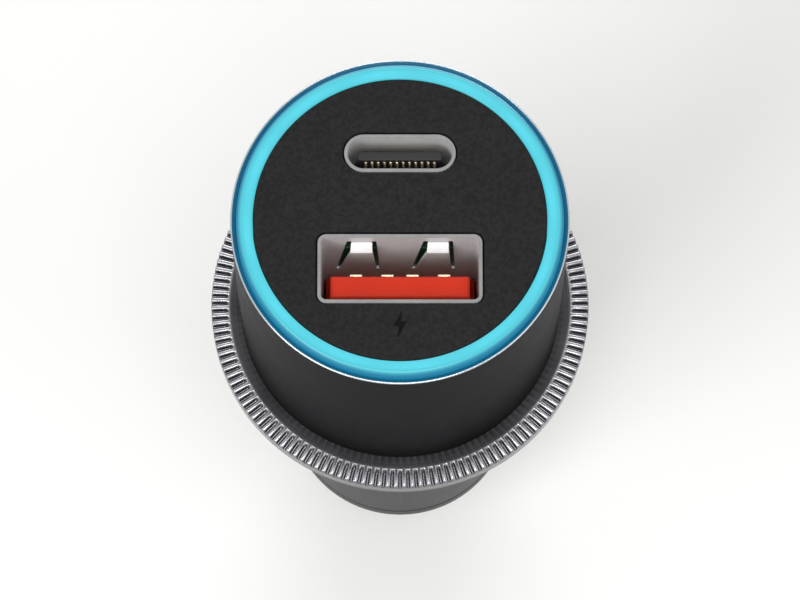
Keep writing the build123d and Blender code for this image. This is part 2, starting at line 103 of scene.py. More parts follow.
# Tip: edges, and where its straight pin starts over the dome; gap at each end of the spring
TIP_EDGE, PIN_START, SPRING_GAP = 0.12 * MM, 1.0 * MM, 0.05 * MM

# Ends of the narrow port's contacts
CONTACT_NOSE, CONTACT_ROOT = 0.09 * MM, 0.04 * MM

# Window of a lamp: size along the radius and round the ring, how far it stands out, height
WINDOW_WIDTH, WINDOW_LENGTH = 0.48 * MM, 1.04 * MM
WINDOW_RISE, WINDOW_DEPTH = 0.06 * MM, 0.2 * MM

# Controller: gap to the board, its leads' length inside and to their bend, inner and outer bends
CONTROLLER_GAP, LEAD_ROOT, LEAD_KNEE = 0.1 * MM, 0.2 * MM, 0.22 * MM
LEAD_BEND, LEAD_CREST = 0.1 * MM, 0.2 * MM

# Small chips: metal at each end, and how far the body lies under it
SMALL_CAP, SMALL_INSET = 0.35 * MM, 0.04 * MM

# Can: rubber end, bead, closed end with its sunk panel, and leads
CAN_BUNG, CAN_SINK, CAN_CURL, CAN_CRISP = 2.268 * MM, 0.15 * MM, 0.3 * MM, 0.05 * MM
BEAD_PLACE, BEAD_HALF, BEAD_DEPTH, BEAD_ROUND = 1.3 * MM, 0.5 * MM, 0.35 * MM, 0.2 * MM
CAN_SHOULDER, CAN_LAND, CAN_PANEL, CAN_STEP = 0.5 * MM, 2.709 * MM, 2.583 * MM, 0.12 * MM
CAN_SPREAD, CAN_ROOT = 1.26 * MM, 0.3 * MM

# Floor: half its side, and its gap under the tip
FLOOR_HALF, FLOOR_GAP = 2.5, 0.2 * MM

# Outputs of the Texture Coordinate and the Attribute node
OBJECT_PLACE = 3
ATTRIBUTE_NUMBER = 2

# Outline of the charge mark, as shares of half its height
BOLT = ((0.16, 1), (-0.5, -0.12), (-0.06, -0.12), (-0.2, -1), (0.5, 0.22), (0.07, 0.22))

# One sector of the collar: share of the pitch and of the groove's depth there
FLUTE_COLUMNS = ((-0.5, 0), (-0.29, 0), (-0.13, 0.95), (0.13, 0.95), (0.29, 0), (0.5, 0))
# Run-in of a groove: distance from its start, and share of its depth
FLUTE_RUN_IN = ((0.12 * MM, 0), (0.26 * MM, 0.55), (0.5 * MM, 0.9))
FLUTE_BRIM = 0.9  # share of the depth left under the collar's rounded top edge

FACE_LOW, FACE_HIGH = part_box("face_plate")
RING_LOW, RING_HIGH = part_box("light_ring")
SHELL_LOW, SHELL_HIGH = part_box("head_shell")
COLLAR_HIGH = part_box("fluted_collar")[1]
BARREL_LOW, BARREL_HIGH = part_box("barrel_housing")
WIDE_LOW, WIDE_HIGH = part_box("usb_a_shell")
NARROW_LOW, NARROW_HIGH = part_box("usb_c_shell")
BOARD_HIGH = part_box("main_board")[1]
TIP_LOW, TIP_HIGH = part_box("tip_contact")
SEAT_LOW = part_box("tip_terminal")[0]
LEAF_LOW, LEAF_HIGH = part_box("side_contact_right")


def length(name, description, size):
    """A length that a user may change, with its default in millimetres."""
    return bpy.props.FloatProperty(
        name=name, description=description, default=size * MM, min=0, precision=5, unit="LENGTH"
    )


def number(name, description, default):
    """A plain number that a user may change."""
    return bpy.props.FloatProperty(name=name, description=description, default=default, min=0)


def count(name, description, default, least=1):
    """A number of copies."""
    return bpy.props.IntProperty(name=name, description=description, default=default, min=least)


def angle(name, description, degrees):
    """An angle, with its default in degrees."""
    return bpy.props.FloatProperty(
        name=name, description=description, default=math.radians(degrees), subtype="ANGLE"
    )


def colour(name, description, default):
    """A linear colour that a user may change."""
    return bpy.props.FloatVectorProperty(
        name=name, description=description, default=default, min=0, max=1, size=3, subtype="COLOR"
    )


class ChargerHeadSizes(bpy.types.PropertyGroup):
    """Sizes of the face, the light ring and the head's shell."""

    face_radius: length("Face radius", "Radius of the dark disc", FACE_HIGH.x / MM)
    face_drop: length("Face drop", "Face below the top of the ring", 0.04)
    face_edge: length("Face edge", "Rounding of the disc and of its openings", 0.14)
    port_gap: length("Port gap", "Gap round a port's shell in the face", 0.1)
    wide_corner: length("Wide port corner", "Corner radius of the wide port's shell", 0.7)
    ring_gap: length("Ring gap", "Gap between the disc and the ring", 0.05)
    ring_flat: length("Ring flat", "Outer radius of the ring's flat top", 12.75)
    shell_wall: length("Shell wall", "Wall of the head's shell", 0.4)
    shell_floor: length("Shell floor", "Thickness of the shell's floor", 1.4)
    rim_round: length("Rim rounding", "Rounding of the shell's bright rim", 0.08)
    rim_chamfer: length("Rim chamfer", "Width of the chamfer inside the rim", 0.28)
    mark_height: length("Mark height", "Height of the printed charge mark", 2.3)
    mark_place: length("Mark place", "Mark in front of the axis", 8.75)


class ChargerCollarSizes(bpy.types.PropertyGroup):
    """Sizes of the fluted collar."""

    radius: length("Radius", "Outer radius", COLLAR_HIGH.x / MM)
    height: length("Height", "Height of the collar", COLLAR_HIGH.z / MM)
    bore: length("Bore", "Radius of the hole", 10.0)
    countersink: length("Countersink", "Size of the cone at the hole's underside", 0.5)
    flutes: count("Flutes", "Grooves round the edge", 144, 3)
    flute_length: length("Flute length", "Length of a groove along the radius", 1.6)
    flute_depth: length("Flute depth", "Depth of a groove at the edge", 0.5)


class ChargerBarrelSizes(bpy.types.PropertyGroup):
    """Sizes of the barrel and its nose."""

    wall: length("Wall", "Wall of the barrel", 1.4)
    land: length("Land", "Length of the full diameter under the collar", 10.0)
    relief: length("Relief", "How much smaller the rest of the barrel is, in radius", 0.3)
    neck_step: length("Neck step", "How much smaller the neck is, in radius", 0.5)
    nose: length("Nose", "Length of the tapered nose", 5.0)
    nose_end: length("Nose end", "Radius of the nose's end", 5.2)
    nose_floor: length("Nose floor", "Solid length of the nose round the tip", 5.5)
    guide: length("Guide", "Gap round the pieces that slide", 0.1)
    seam_width: length("Seam width", "Width of the mould's parting line", 0.14)
    seam_height: length("Seam height", "Height of the mould's parting line", 0.03)
    slot_gap: length("Slot gap", "Gap round a side contact", 0.3)
    slot_corner: length("Slot corner", "Corner radius of a slot", 0.6)


class ChargerContactSizes(bpy.types.PropertyGroup):
    """Sizes of the side contacts, the tip and its spring."""

    leaf: length("Leaf", "Thickness of a side contact", 0.5)
    leaf_foot: length("Leaf foot", "Length of each foot behind the wall", 1.4)
    leaf_crest: length("Leaf crest", "Flat at the top of the bow, before its bends", 4.0)
    leaf_bow: length("Leaf bow", "Radius of the bends beside the crest", 6.0)
    leaf_bend: length("Leaf bend", "Radius of the bends beside the feet", 1.2)
    tip_radius: length("Tip radius", "Radius of the tip's pin", 3.25)
    tip_dome: length("Tip dome", "Height of the tip's dome", 0.9)
    flange: length("Flange", "Thickness of the tip's flange", 1.0)
    wire: length("Spring wire", "Radius of the spring's wire", 0.3)
    coil: length("Spring coil", "Radius of the spring at the wire's middle", 3.1)
    turns: number("Spring turns", "Turns of the spring", 4.5)
    press: length("Tip travel", "How far the tip is pressed in", 2.5)


class ChargerInsideSizes(bpy.types.PropertyGroup):
    """Sizes of the narrow port's contacts and of the components behind the face."""

    contacts: count("Contacts", "Contacts on each side of the narrow tongue", 12)
    contact_pitch: length("Contact pitch", "Distance between these contacts", 0.5)
    contact_width: length("Contact width", "Width of such a contact", 0.25)
    contact_thick: length("Contact thickness", "Thickness of such a contact", 0.08)
    lamps: count("Lamps", "Lamps under the ring", 12)
    lamp_circle: length("Lamp circle", "Radius of the circle of lamps", 12.4)
    lamp_width: length("Lamp width", "Lamp's size along the radius", 0.8)
    lamp_length: length("Lamp length", "Lamp's size round the ring", 1.6)
    lamp_turn: angle("Lamp turn", "Angle of the first lamp", 7.5)
    leads: count("Leads", "Leads on each side of the controller", 4)
    lead_width: length("Lead width", "Width of the controller's leads", 0.42)
    lead_pitch: length("Lead pitch", "Distance between the leads", 1.27)
    lead_reach: length("Lead reach", "Leads beside the controller's body", 0.55)
    lead_thick: length("Lead thickness", "Thickness of the leads", 0.2)
    small_width: length("Small chip width", "Width of a small chip", 0.8)
    small_length: length("Small chip length", "Length of a small chip", 1.6)
    small_rows: count("Small chips", "Chips in each column", 3, 2)
    can_room: length("Can room", "Room for the leads under the can", 0.9)
    can_wire: length("Can wire", "Thickness of the can's leads", 0.5)


class ChargerColours(bpy.types.PropertyGroup):
    """Colours of the finishes."""

    face: colour("Face", "Matte disc", (0.011, 0.011, 0.0112))
    mark: colour("Mark", "Printed charge mark", (0.004, 0.004, 0.0045))
    glow: colour("Ring", "Lit top of the ring", (0.07, 0.53, 0.62))
    glow_peak: colour("Ring peak", "Brightest line of the ring", (0.1, 0.66, 0.82))
    glow_edge: colour("Ring edge", "Lit bevel of the ring", (0.006, 0.17, 0.31))
    guide: colour("Ring body", "Ring's own colour on top", (0.01, 0.06, 0.07))
    guide_edge: colour("Ring body edge", "Ring's own colour on its bevel", (0.004, 0.03, 0.05))
    shell: colour("Shell", "Coat of the head", (0.03, 0.03, 0.032))
    rim: colour("Rim", "Cut edge of the shell", (0.5, 0.56, 0.6))
    collar: colour("Collar", "Dark plating", (0.36, 0.36, 0.38))
    # Painted shade, mixed deep in the grooves and over the collar's side and underside
    painted_groove_shade: colour("Flute root", "Painted shade deep in the grooves", (0.03, 0.03, 0.033))
    steel: colour("Port steel", "Plated sheet of the ports", (0.64, 0.64, 0.64))
    tongue: colour("Wide tongue", "Moulding in the wide port", (0.43, 0.018, 0.006))
    # Painted light: paler orange mixed over the tongue's exposed end
    painted_tongue_light: colour("Wide tongue edge", "End of that moulding", (0.52, 0.035, 0.012))
    dark_tongue: colour("Narrow tongue", "Moulding in the narrow port", (0.012, 0.012, 0.013))
    gold: colour("Gold", "Plated contacts", (0.88, 0.78, 0.56))
    barrel: colour("Barrel", "Moulded barrel", (0.016, 0.016, 0.017))
    scuff: colour("Scuff", "Scuffs on the barrel", (0.085, 0.085, 0.085))
    nickel: colour("Nickel", "Plated tip and leaves", (0.58, 0.56, 0.52))
    worn: colour("Worn nickel", "Brass showing at the tip's end", (0.72, 0.6, 0.38))
    wire: colour("Spring wire", "Drawn wire", (0.55, 0.55, 0.56))
    tin: colour("Tin", "Tinned leads", (0.7, 0.7, 0.69))
    cap: colour("Cap", "Tinned caps of the chips", (0.72, 0.72, 0.7))
    mask: colour("Mask", "Solder mask", (0.006, 0.042, 0.018))
    track: colour("Track", "Copper under the mask", (0.014, 0.085, 0.036))
    lamp: colour("Lamp", "Lamp's body", (0.82, 0.84, 0.8))
    window: colour("Lamp window", "Lamp's window", (0.85, 0.62, 0.12))
    chip: colour("Chip", "Black packages", (0.016, 0.016, 0.017))
    tan: colour("Capacitor", "Tan packages", (0.36, 0.24, 0.12))
    ceramic: colour("Ceramic", "Fuse's body", (0.7, 0.69, 0.64))
    ferrite: colour("Ferrite", "Inductor's body", (0.06, 0.06, 0.065))
    can: colour("Can", "Drawn aluminium", (0.62, 0.63, 0.65))
    rubber: colour("Rubber", "Rubber end of the can", (0.012, 0.012, 0.012))
    floor: colour("Floor", "Studio floor", (0.8, 0.8, 0.79))


class ChargerStageSizes(bpy.types.PropertyGroup):
    """Camera, lamps and floor."""

    elevation: angle("Elevation", "Camera above the horizon, from the face", 72.5)
    distance: length("Distance", "Camera from the middle of the face", 335)
    aim: length("Aim", "Height that the camera looks at", 3)
    lens: number("Lens", "Focal length in millimetres", 190.0)
    lamp_power: number("Lamp power", "Power of the key lamp in watts", 1.3)
    world_light: number("World light", "Strength of the world's light on the object", 0.42)
    world_seen: number("World seen", "Strength of the world where it is seen or mirrored", 0.9)


class Sock:
    """A node's output whose arithmetic adds Math nodes."""

    def __init__(self, nodes, socket):
        self.nodes = nodes
        self.socket = socket

    def math(self, operation, *values):
        """A Math node on this value and others."""
        return self.nodes.node("ShaderNodeMath", (self, *values), operation=operation)[0]

    def __add__(self, other):
        return self.math("ADD", other)

    def __sub__(self, other):
        return self.math("SUBTRACT", other)

    def __mul__(self, other):
        return self.math("MULTIPLY", other)

    def __rsub__(self, other):
        return self.nodes.node("ShaderNodeMath", (other, self), operation="SUBTRACT")[0]

    __radd__ = __add__
    __rmul__ = __mul__

    def rise(self, low, high):
        """0 below low and 1 above high, smooth between; falls if low is the larger."""
        ends = {"Value": self, "From Min": low, "From Max": high}
        return self.nodes.node("ShaderNodeMapRange", ends, interpolation_type="SMOOTHSTEP")[0]


class Nodes:
    """A node tree of a material, the world or a modifier."""

    def __init__(self, tree):
        self.tree = tree

    def node(self, kind, values=(), **settings):
        """Adds a node, sets it up, feeds its inputs by name or in order, and gives its outputs."""
        node = self.tree.nodes.new(kind)
        for name, setting in settings.items():
            setattr(node, name, setting)
        shown = [socket for socket in node.inputs if socket.enabled]
        if isinstance(values, dict):
            shown = [next(socket for socket in shown if socket.name == name) for name in values]
            values = values.values()
        for socket, value in zip(shown, values):
            self.feed(socket, value)
        return [Sock(self, socket) for socket in node.outputs if socket.enabled]

    def feed(self, socket, value):
        """Links an input to an output, or sets its value."""
        if isinstance(value, Sock):
            self.tree.links.new(value.socket, socket)
        elif socket.type == "RGBA" and len(value) == 3:
            socket.default_value = (*value, 1.0)
        else:
            socket.default_value = value


class Finish(Nodes):
    """A node-based material on a Principled shader."""

    def __init__(self, name, fixed):
        self.material = bpy.data.materials.new(name)
        self.material.use_nodes = True
        super().__init__(self.material.node_tree)
        self.shader = self.tree.nodes["Principled BSDF"].inputs
        for socket, value in fixed.items():
            self.feed(self.shader[socket], value)
        self.place = self.node("ShaderNodeTexCoord")[OBJECT_PLACE]

    def mix(self, share, first, second):
        """Colour between two others."""
        return self.node("ShaderNodeMix", (share, first, second), data_type="RGBA")[0]

    def tint(self, base, factor):
        """A colour times a varying number."""
        both = {"Vector": base, "Scale": factor}
        return self.node("ShaderNodeVectorMath", both, operation="SCALE")[0]

    def axes(self):
        """X, Y and Z of the place on the piece."""
        return self.node("ShaderNodeSeparateXYZ", (self.place,))

    def radius(self, centre=0.0):
        """Distance from the plug's axis, or from a line beside it along Y."""
        x, y, _ = self.axes()
        if centre:
            y = y - centre
        return (x * x + y * y).math("SQRT")

    def grain(self, size, detail=2.0, stretch=(1, 1, 1)):
        """Noise from 0 to 1 with marks of that size, longer along an axis by its stretch."""
        scale = tuple(1 / value for value in stretch)
        place = self.node("ShaderNodeMapping", {"Vector": self.place, "Scale": scale})[0]
        marks = {"Vector": place, "Scale": 1 / size, "Detail": detail}
        return self.node("ShaderNodeTexNoise", marks)[0]

    def rings(self, along, size):
        """Noise that changes only along one value, as a lathe leaves it."""
        marks = {"W": along, "Scale": 1 / size, "Detail": 3.0}
        return self.node("ShaderNodeTexNoise", marks, noise_dimensions="1D")[0]

    def done(self, feeds, relief=None, depth=0.0):
        """Feeds the shader, adds relief of that depth, and gives the material."""
        if relief:
            height = {"Distance": depth, "Height": relief}
            feeds["Normal"] = self.node("ShaderNodeBump", height)[0]
        for name, value in feeds.items():
            self.feed(self.shader[name], value)
        return self.material


def moulded(name, base, size, depth, rough, gloss):
    """Moulded plastic or ink with a fine grain and a slight unevenness of tone."""
    finish = Finish(name, {"Specular IOR Level": gloss})
    fine = finish.grain(size)
    broad = finish.grain(size * 30, 3.0)
    feeds = {
        "Base Color": finish.tint(base, 0.82 + broad * 0.26 + fine * 0.1),
        "Roughness": rough - 0.08 + broad * 0.1 + fine * 0.06,
    }
    return finish.done(feeds, fine, depth)


def plated(name, base, rough, stretch, size=0.25 * MM):
    """Plated sheet or wire with fine marks along its rolling direction."""
    finish = Finish(name, {"Metallic": 1.0})
    marks = finish.grain(size, 4.0, stretch)
    cloud = finish.grain(2.5 * MM)
    feeds = {
        "Base Color": finish.tint(base, 0.84 + marks * 0.16 + cloud * 0.14),
        "Roughness": rough - 0.07 + marks * 0.12 + cloud * 0.06,
    }
    return finish.done(feeds, marks, 0.004 * MM)


def port_finish(name, base, mouth):
    """Dull plated sheet of a port, drawn lengthwise, darker and rougher along the top edge of its
    mouth.
    """
    finish = Finish(name, {"Metallic": 0.3, "Specular IOR Level": 0.3})
    _, _, height = finish.axes()
    marks = finish.grain(0.25 * MM, 4.0, (1, 1, 14))
    cloud = finish.grain(2.5 * MM)
    # Darker and rougher along the top edge of the mouth
    darker_mouth_edge = height.rise(mouth - 0.09 * MM, mouth - 0.03 * MM)
    feeds = {
        "Base Color": finish.tint(base, 0.9 + marks * 0.14 + cloud * 0.12 - darker_mouth_edge * 0.66),
        "Roughness": 0.27 + marks * 0.12 + cloud * 0.06 + darker_mouth_edge * 0.12,
    }
    return finish.done(feeds, marks, 0.004 * MM)


def face_finish(colours):
    """Matte face with a spark-eroded grain, a little smoother where fingers rub the middle."""
    finish = Finish("face_matte", {"Specular IOR Level": 0.12})
    pits = finish.grain(0.3 * MM, 3.0).rise(0.34, 0.66)
    tone = finish.grain(4 * MM, 3.0)
    rubbed = finish.radius().rise(10 * MM, 3 * MM)
    feeds = {
        "Base Color": finish.tint(colours.face, 0.45 + tone * 0.3 + pits * 0.7),
        "Roughness": 0.58 + pits * 0.14 - rubbed * 0.07,
    }
    return finish.done(feeds, pits, 0.03 * MM)


def ring_finish(colours, sizes, lamps, first):
    """Lit light guide: bright flat top, hotter over each lamp, and a deep blue bevel."""
    fixed = {"Emission Strength": 1.0, "Specular IOR Level": 0.3, "Roughness": 0.22}
    finish = Finish("ring_lit", fixed)
    x, y, _ = finish.axes()
    radius = finish.radius()
    inner = sizes.face_radius + sizes.ring_gap
    flat = sizes.ring_flat
    lamp = ((y.math("ARCTAN2", x) - first) * lamps).math("COSINE") * 0.5 + 0.5
    top = radius.rise(flat + 0.23 * MM, flat - 0.13 * MM)
    core = radius.rise(inner, inner + 0.3 * MM) * radius.rise(flat - 0.15 * MM, flat - 0.45 * MM)
    cloud = finish.grain(0.8 * MM)
    peak = core * (0.45 + lamp * 0.4) * (0.55 + cloud * 0.6)
    lit = finish.mix(peak, colours.glow, colours.glow_peak)
    feeds = {
        "Emission Color": finish.mix(top, colours.glow_edge, lit),
        "Base Color": finish.mix(top, colours.guide_edge, colours.guide),
    }
    return finish.done(feeds, cloud, 0.006 * MM)


def shell_finish(colours):
    """Black satin coat with faint orange peel, cut through to bare metal along the rim."""
    finish = Finish("head_coat", {"Metallic": 1.0, "Specular Tint": (0.45, 0.45, 0.45)})
    _, _, height = finish.axes()
    peel = finish.grain(0.16 * MM, 3.0)
    cloud = finish.grain(4 * MM, 3.0)
    rim = height.rise(SHELL_HIGH.z - 0.16 * MM, SHELL_HIGH.z - 0.11 * MM)
    inside = finish.radius().rise(SHELL_HIGH.x - 0.11 * MM, SHELL_HIGH.x - 0.13 * MM)
    chamfer = inside * height.rise(SHELL_HIGH.z - 0.5 * MM, SHELL_HIGH.z - 0.4 * MM)
    cut = rim.math("MAXIMUM", chamfer)
    coat = finish.tint(colours.shell, 0.8 + cloud * 0.4)
    feeds = {
        "Base Color": finish.mix(cut, coat, colours.rim),
        "Roughness": 0.36 + cloud * 0.1 - cut * 0.2,
    }
    return finish.done(feeds, peel, 0.012 * MM)


def collar_finish(colours, start):
    """Dark polished plating with lathe rings on the flat; painted shade darkens the flat beside
    the head and everything deep in the grooves, down the side and underneath.
    """
    finish = Finish("collar_plating", {"Metallic": 1.0})
    _, _, height = finish.axes()
    radius = finish.radius()
    lathe = finish.rings(radius, 0.09 * MM)
    cloud = finish.grain(3 * MM)
    deep = height.rise(COLLAR_HIGH.z - 0.05 * MM, COLLAR_HIGH.z - 0.3 * MM)
    # Painted shade: mixed three quarters of the way to near black deep in the grooves and on the
    # side and underside, more than 0.3 mm below the top
    root = deep * radius.rise(start - 0.1 * MM, start + 0.4 * MM)
    flat = radius.rise(start + 0.2 * MM, start - 0.1 * MM)
    # Painted shade: the flat beside the head is darkened nearly to black
    body = finish.tint(colours.collar, 0.8 + lathe * 0.2 + cloud * 0.15 - flat * 0.8)
    feeds = {
        "Base Color": finish.mix(root * 0.75, body, colours.painted_groove_shade),
        "Roughness": 0.16 + lathe * 0.1 + cloud * 0.06 + flat * 0.2,
    }
    return finish.done(feeds, lathe, 0.004 * MM)


def tongue_finish(colours):
    """Satin red moulding, with painted light making the tongue's exposed end by the mouth paler
    and more orange.
    """
    finish = Finish("tongue_red", {"Specular IOR Level": 0.15})
    _, _, height = finish.axes()
    fine = finish.grain(0.13 * MM)
    cloud = finish.grain(1.6 * MM, 3.0, (2, 1, 1))
    # Painted light: the last part of the tongue, at its end by the mouth, is mixed a third of the
    # way to a paler orange
    edge = height.rise(WIDE_HIGH.z - 1.6 * MM, WIDE_HIGH.z - 1.05 * MM)
    base = finish.tint(colours.tongue, 0.74 + cloud * 0.46)
    feeds = {
        "Base Color": finish.mix(edge * 0.35, base, colours.painted_tongue_light),
        "Roughness": 0.4 + fine * 0.1 + cloud * 0.06,
    }
    return finish.done(feeds, fine, 0.006 * MM)


def barrel_finish(colours, cone):
    """Moulded black barrel with a fine grain and lengthwise scuffs from use."""
    finish = Finish("barrel_moulding", {"Specular IOR Level": 0.35})
    _, _, height = finish.axes()
    fine = finish.grain(0.16 * MM)
    cloud = finish.grain(5 * MM, 3.0)
    rubbed = height.rise(-1 * MM, -4 * MM) * height.rise(cone + 1 * MM, cone + 7 * MM)
    streaks = finish.grain(0.12 * MM, 3.0, (1, 1, 60)).rise(0.6, 0.72)
    scuff = streaks * cloud.rise(0.42, 0.6) * rubbed
    base = finish.tint(colours.barrel, 0.75 + cloud * 0.5)
    feeds = {
        "Base Color": finish.mix(scuff * 0.45, base, colours.scuff),
        "Roughness": 0.34 + fine * 0.12 + cloud * 0.1 - scuff * 0.1,
    }
    return finish.done(feeds, fine, 0.007 * MM)


def turned_nickel_finish(colours):
    """Turned and plated tip with lathe rings along it and a worn dome."""
    finish = Finish("tip_nickel", {"Metallic": 1.0})
    _, _, height = finish.axes()
    lathe = finish.rings(height, 0.12 * MM)
    cloud = finish.grain(1.4 * MM, 3.0)
    worn = height.rise(TIP_LOW.z + 0.5 * MM, TIP_LOW.z + 0.1 * MM)
    base = finish.tint(colours.nickel, 0.82 + lathe * 0.2 + cloud * 0.1)
    feeds = {
        "Base Color": finish.mix(worn * 0.5, base, colours.worn),
        "Roughness": 0.2 + lathe * 0.12 + worn * cloud * 0.15,
    }
    return finish.done(feeds, lathe, 0.006 * MM)


def board_finish(colours):
    """Solder mask with copper tracks showing paler under it."""
    finish = Finish("board_mask", {"Specular IOR Level": 0.5})
    x, y, z = finish.axes()
    across = ((x + y) * (1 / (1.27 * MM))).math("FRACT") - 0.5
    along = (z * (1 / (4.1 * MM))).math("FRACT")
    tracks = across.math("ABSOLUTE").rise(0.36, 0.42) * along.rise(0.1, 0.16)
    cloud = finish.grain(2 * MM)
    base = finish.mix(tracks, colours.mask, colours.track)
    feeds = {
        "Base Color": finish.tint(base, 0.85 + cloud * 0.3),
        "Roughness": 0.32 + cloud * 0.1,
    }
    return finish.done(feeds, tracks, 0.02 * MM)


def package_finish(name, body, trim, rough, metal=True):
    """A component: moulded or ceramic body, and trim, of metal or not, where its points say so."""
    finish = Finish(name, {"Specular IOR Level": 0.4})
    share = finish.node("ShaderNodeAttribute", attribute_name="trim")[ATTRIBUTE_NUMBER]
    fine = finish.grain(0.09 * MM)
    cloud = finish.grain(1.2 * MM, 3.0)
    tone = finish.mix(share, body, trim)
    feeds = {
        "Base Color": finish.tint(tone, 0.8 + cloud * 0.3 + fine * 0.1),
        "Roughness": rough + fine * 0.1 - share * (rough - 0.3),
    }
    if metal:
        feeds["Metallic"] = share
    return finish.done(feeds, fine, 0.005 * MM)


def can_finish(colours, end, bung, axis):
    """Drawn aluminium can with a dark rubber end inside its curl."""
    finish = Finish("can_drawn", {"Specular IOR Level": 0.4})
    _, _, height = finish.axes()
    inside = finish.radius(axis).rise(bung, bung - 0.04 * MM)
    rubber = inside * height.rise(end + 0.4 * MM, end + 0.3 * MM)
    marks = finish.grain(0.2 * MM, 3.0, (1, 1, 16))
    cloud = finish.grain(2 * MM)
    body = finish.tint(colours.can, 0.85 + marks * 0.14 + cloud * 0.12)
    feeds = {
        "Base Color": finish.mix(rubber, body, colours.rubber),
        "Metallic": 1 - rubber,
        "Roughness": 0.3 + marks * 0.1 + rubber * 0.3,
    }
    return finish.done(feeds, marks, 0.004 * MM)


def floor_finish(colours):
    """Pale studio floor with the least unevenness of tone."""
    finish = Finish("studio_floor", {"Specular IOR Level": 0.2})
    cloud = finish.grain(80 * MM, 3.0)
    feeds = {
        "Base Color": finish.tint(colours.floor, 0.98 + cloud * 0.04),
        "Roughness": 0.75 + cloud * 0.1,
    }
    return finish.done(feeds)


def rounded(corners, steps=5):
    """Outline through (across, up, radius) corners, each turned into an arc of its radius."""
    points = []
    for index, (across, up, radius) in enumerate(corners):
        corner = Vector((across, up))
        if not radius:
            points.append(corner)
            continue
        back = (Vector(corners[index - 1][:2]) - corner).normalized()
        ahead = (Vector(corners[(index + 1) % len(corners)][:2]) - corner).normalized()
        half = back.angle(ahead) / 2
        centre = corner + (back + ahead).normalized() * (radius / math.sin(half))
        start = corner + back * (radius / math.tan(half)) - centre
        sweep = math.copysign(math.pi - 2 * half, back.x * ahead.y - back.y * ahead.x)
        for step in range(steps + 1):
            points.append(centre + Matrix.Rotation(-sweep * step / steps, 2) @ start)
    return points


def rounded_box(left, bottom, right, top, corner, steps=5):
    """Outline of a rectangle with rounded corners."""
    corners = ((left, bottom), (right, bottom), (right, top), (left, top))
    return rounded([(*place, corner) for place in corners], steps)


def clean(made):
    """Merges doubles in a bmesh, drops slivers, and turns all faces outwards and smooth."""
    bmesh.ops.remove_doubles(made, verts=made.verts, dist=WELD)
    bmesh.ops.dissolve_degenerate(made, dist=SLIVER, edges=made.edges)
    bmesh.ops.recalc_face_normals(made, faces=made.faces)
    for face in made.faces:
        face.smooth = True


def piece_from(name, made, material=None):
    """A new object at the origin from a bmesh."""
    clean(made)
    mesh = bpy.data.meshes.new(name)
    made.to_mesh(mesh)
    made.free()
    piece = bpy.data.objects.new(name, mesh)
    bpy.context.scene.collection.objects.link(piece)
    if material:
        mesh.materials.append(material)
    return piece


def settle(piece):
    """Turns a piece with modifiers into a plain mesh."""
    bpy.context.view_layer.update()
    graph = bpy.context.evaluated_depsgraph_get()
    mesh = bpy.data.meshes.new_from_object(piece.evaluated_get(graph), depsgraph=graph)
    rough = piece.data
    piece.modifiers.clear()
    piece.data = mesh
    mesh.name = piece.name
    bpy.data.meshes.remove(rough)
    return piece


def eased(piece, width=0, steps=2, limit=35):
    """Bevels edges sharper than a limit in degrees, and weights normals to keep flats flat."""
    if width:
        bevel = piece.modifiers.new("bevel", "BEVEL")
        bevel.width = width
        bevel.segments = steps
        bevel.limit_method = "ANGLE"
        bevel.angle_limit = math.radians(limit)
    weighted = piece.modifiers.new("normals", "WEIGHTED_NORMAL")
    weighted.keep_sharp = True
    return settle(piece)


def fit_piece(piece, body, slot, *nodes):
    """Tells the frame which body carries a piece and which nodes it stands for; the slot argument
    is not used.
    """
    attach(piece, body)
    if nodes:
        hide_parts(*nodes)


def columns_round(steps, half, rise):
    """Angles round the axis, each with a lift of the radius: a narrow ridge at front and back."""
    columns = []
    for step in range(steps):
        turn = 2 * math.pi * step / steps
        if rise and step % (steps // 2) == steps // 4:
            columns += [(turn - half, 0.0), (turn, rise), (turn + half, 0.0)]
        else:
            columns.append((turn, 0.0))
    return columns


def turned(name, outline, material, steps=ROUND_STEPS, seam=(0.0, 0.0)):
    """A closed outline of (radius, height) points turned round the axis, seamed or plain."""
    made = bmesh.new()
    columns = columns_round(steps, *seam)
    rows = []
    for turn, lift in columns:
        across, up = math.cos(turn), math.sin(turn)
        places = [((r + lift) * across, (r + lift) * up, z) for r, z in outline]
        rows.append([made.verts.new(place) for place in places])
    for place, here in enumerate(rows):
        following = (place + 1) % len(rows)
        there = rows[following]
        crisp = columns[place][1] or columns[place - 1][1] or columns[following][1]
        for index in range(len(outline)):
            after = (index + 1) % len(outline)
            if outline[index][0] or outline[after][0]:
                made.faces.new((here[index], there[index], there[after], here[after]))
                if crisp:
                    made.edges.get((here[index], here[after])).smooth = False
    return piece_from(name, made, material)


def prism(near, far):
    """A bmesh between two loops of points, closed at both ends."""
    made = bmesh.new()
    first = [made.verts.new(point) for point in near]
    last = [made.verts.new(point) for point in far]
    made.faces.new(first)
    made.faces.new(last[::-1])
    for index in range(len(first)):
        made.faces.new((first[index], first[index - 1], last[index - 1], last[index]))
    return made


def pressed(outline, across, shift=(0, 0, 0)):
    """A bmesh of an outline of (x, z) points that goes half its width to each side along Y."""
    x, y, z = shift
    sides = [[(x + a, y + side, z + b) for a, b in outline] for side in (-across / 2, across / 2)]
    return prism(*sides)


def box(made, low, high):
    """Adds a box to a bmesh and gives its points."""
    points = bmesh.ops.create_cube(made, size=1)["verts"]
    for point in points:
        point.co = [(a + b) / 2 + share * (b - a) for a, b, share in zip(low, high, point.co)]
    return points


def block(made, low, high, trim=0.0):
    """Adds a box whose points carry the share of the trim's finish."""
    layer = made.verts.layers.float.get("trim") or made.verts.layers.float.new("trim")
    for point in box(made, low, high):
        point[layer] = trim


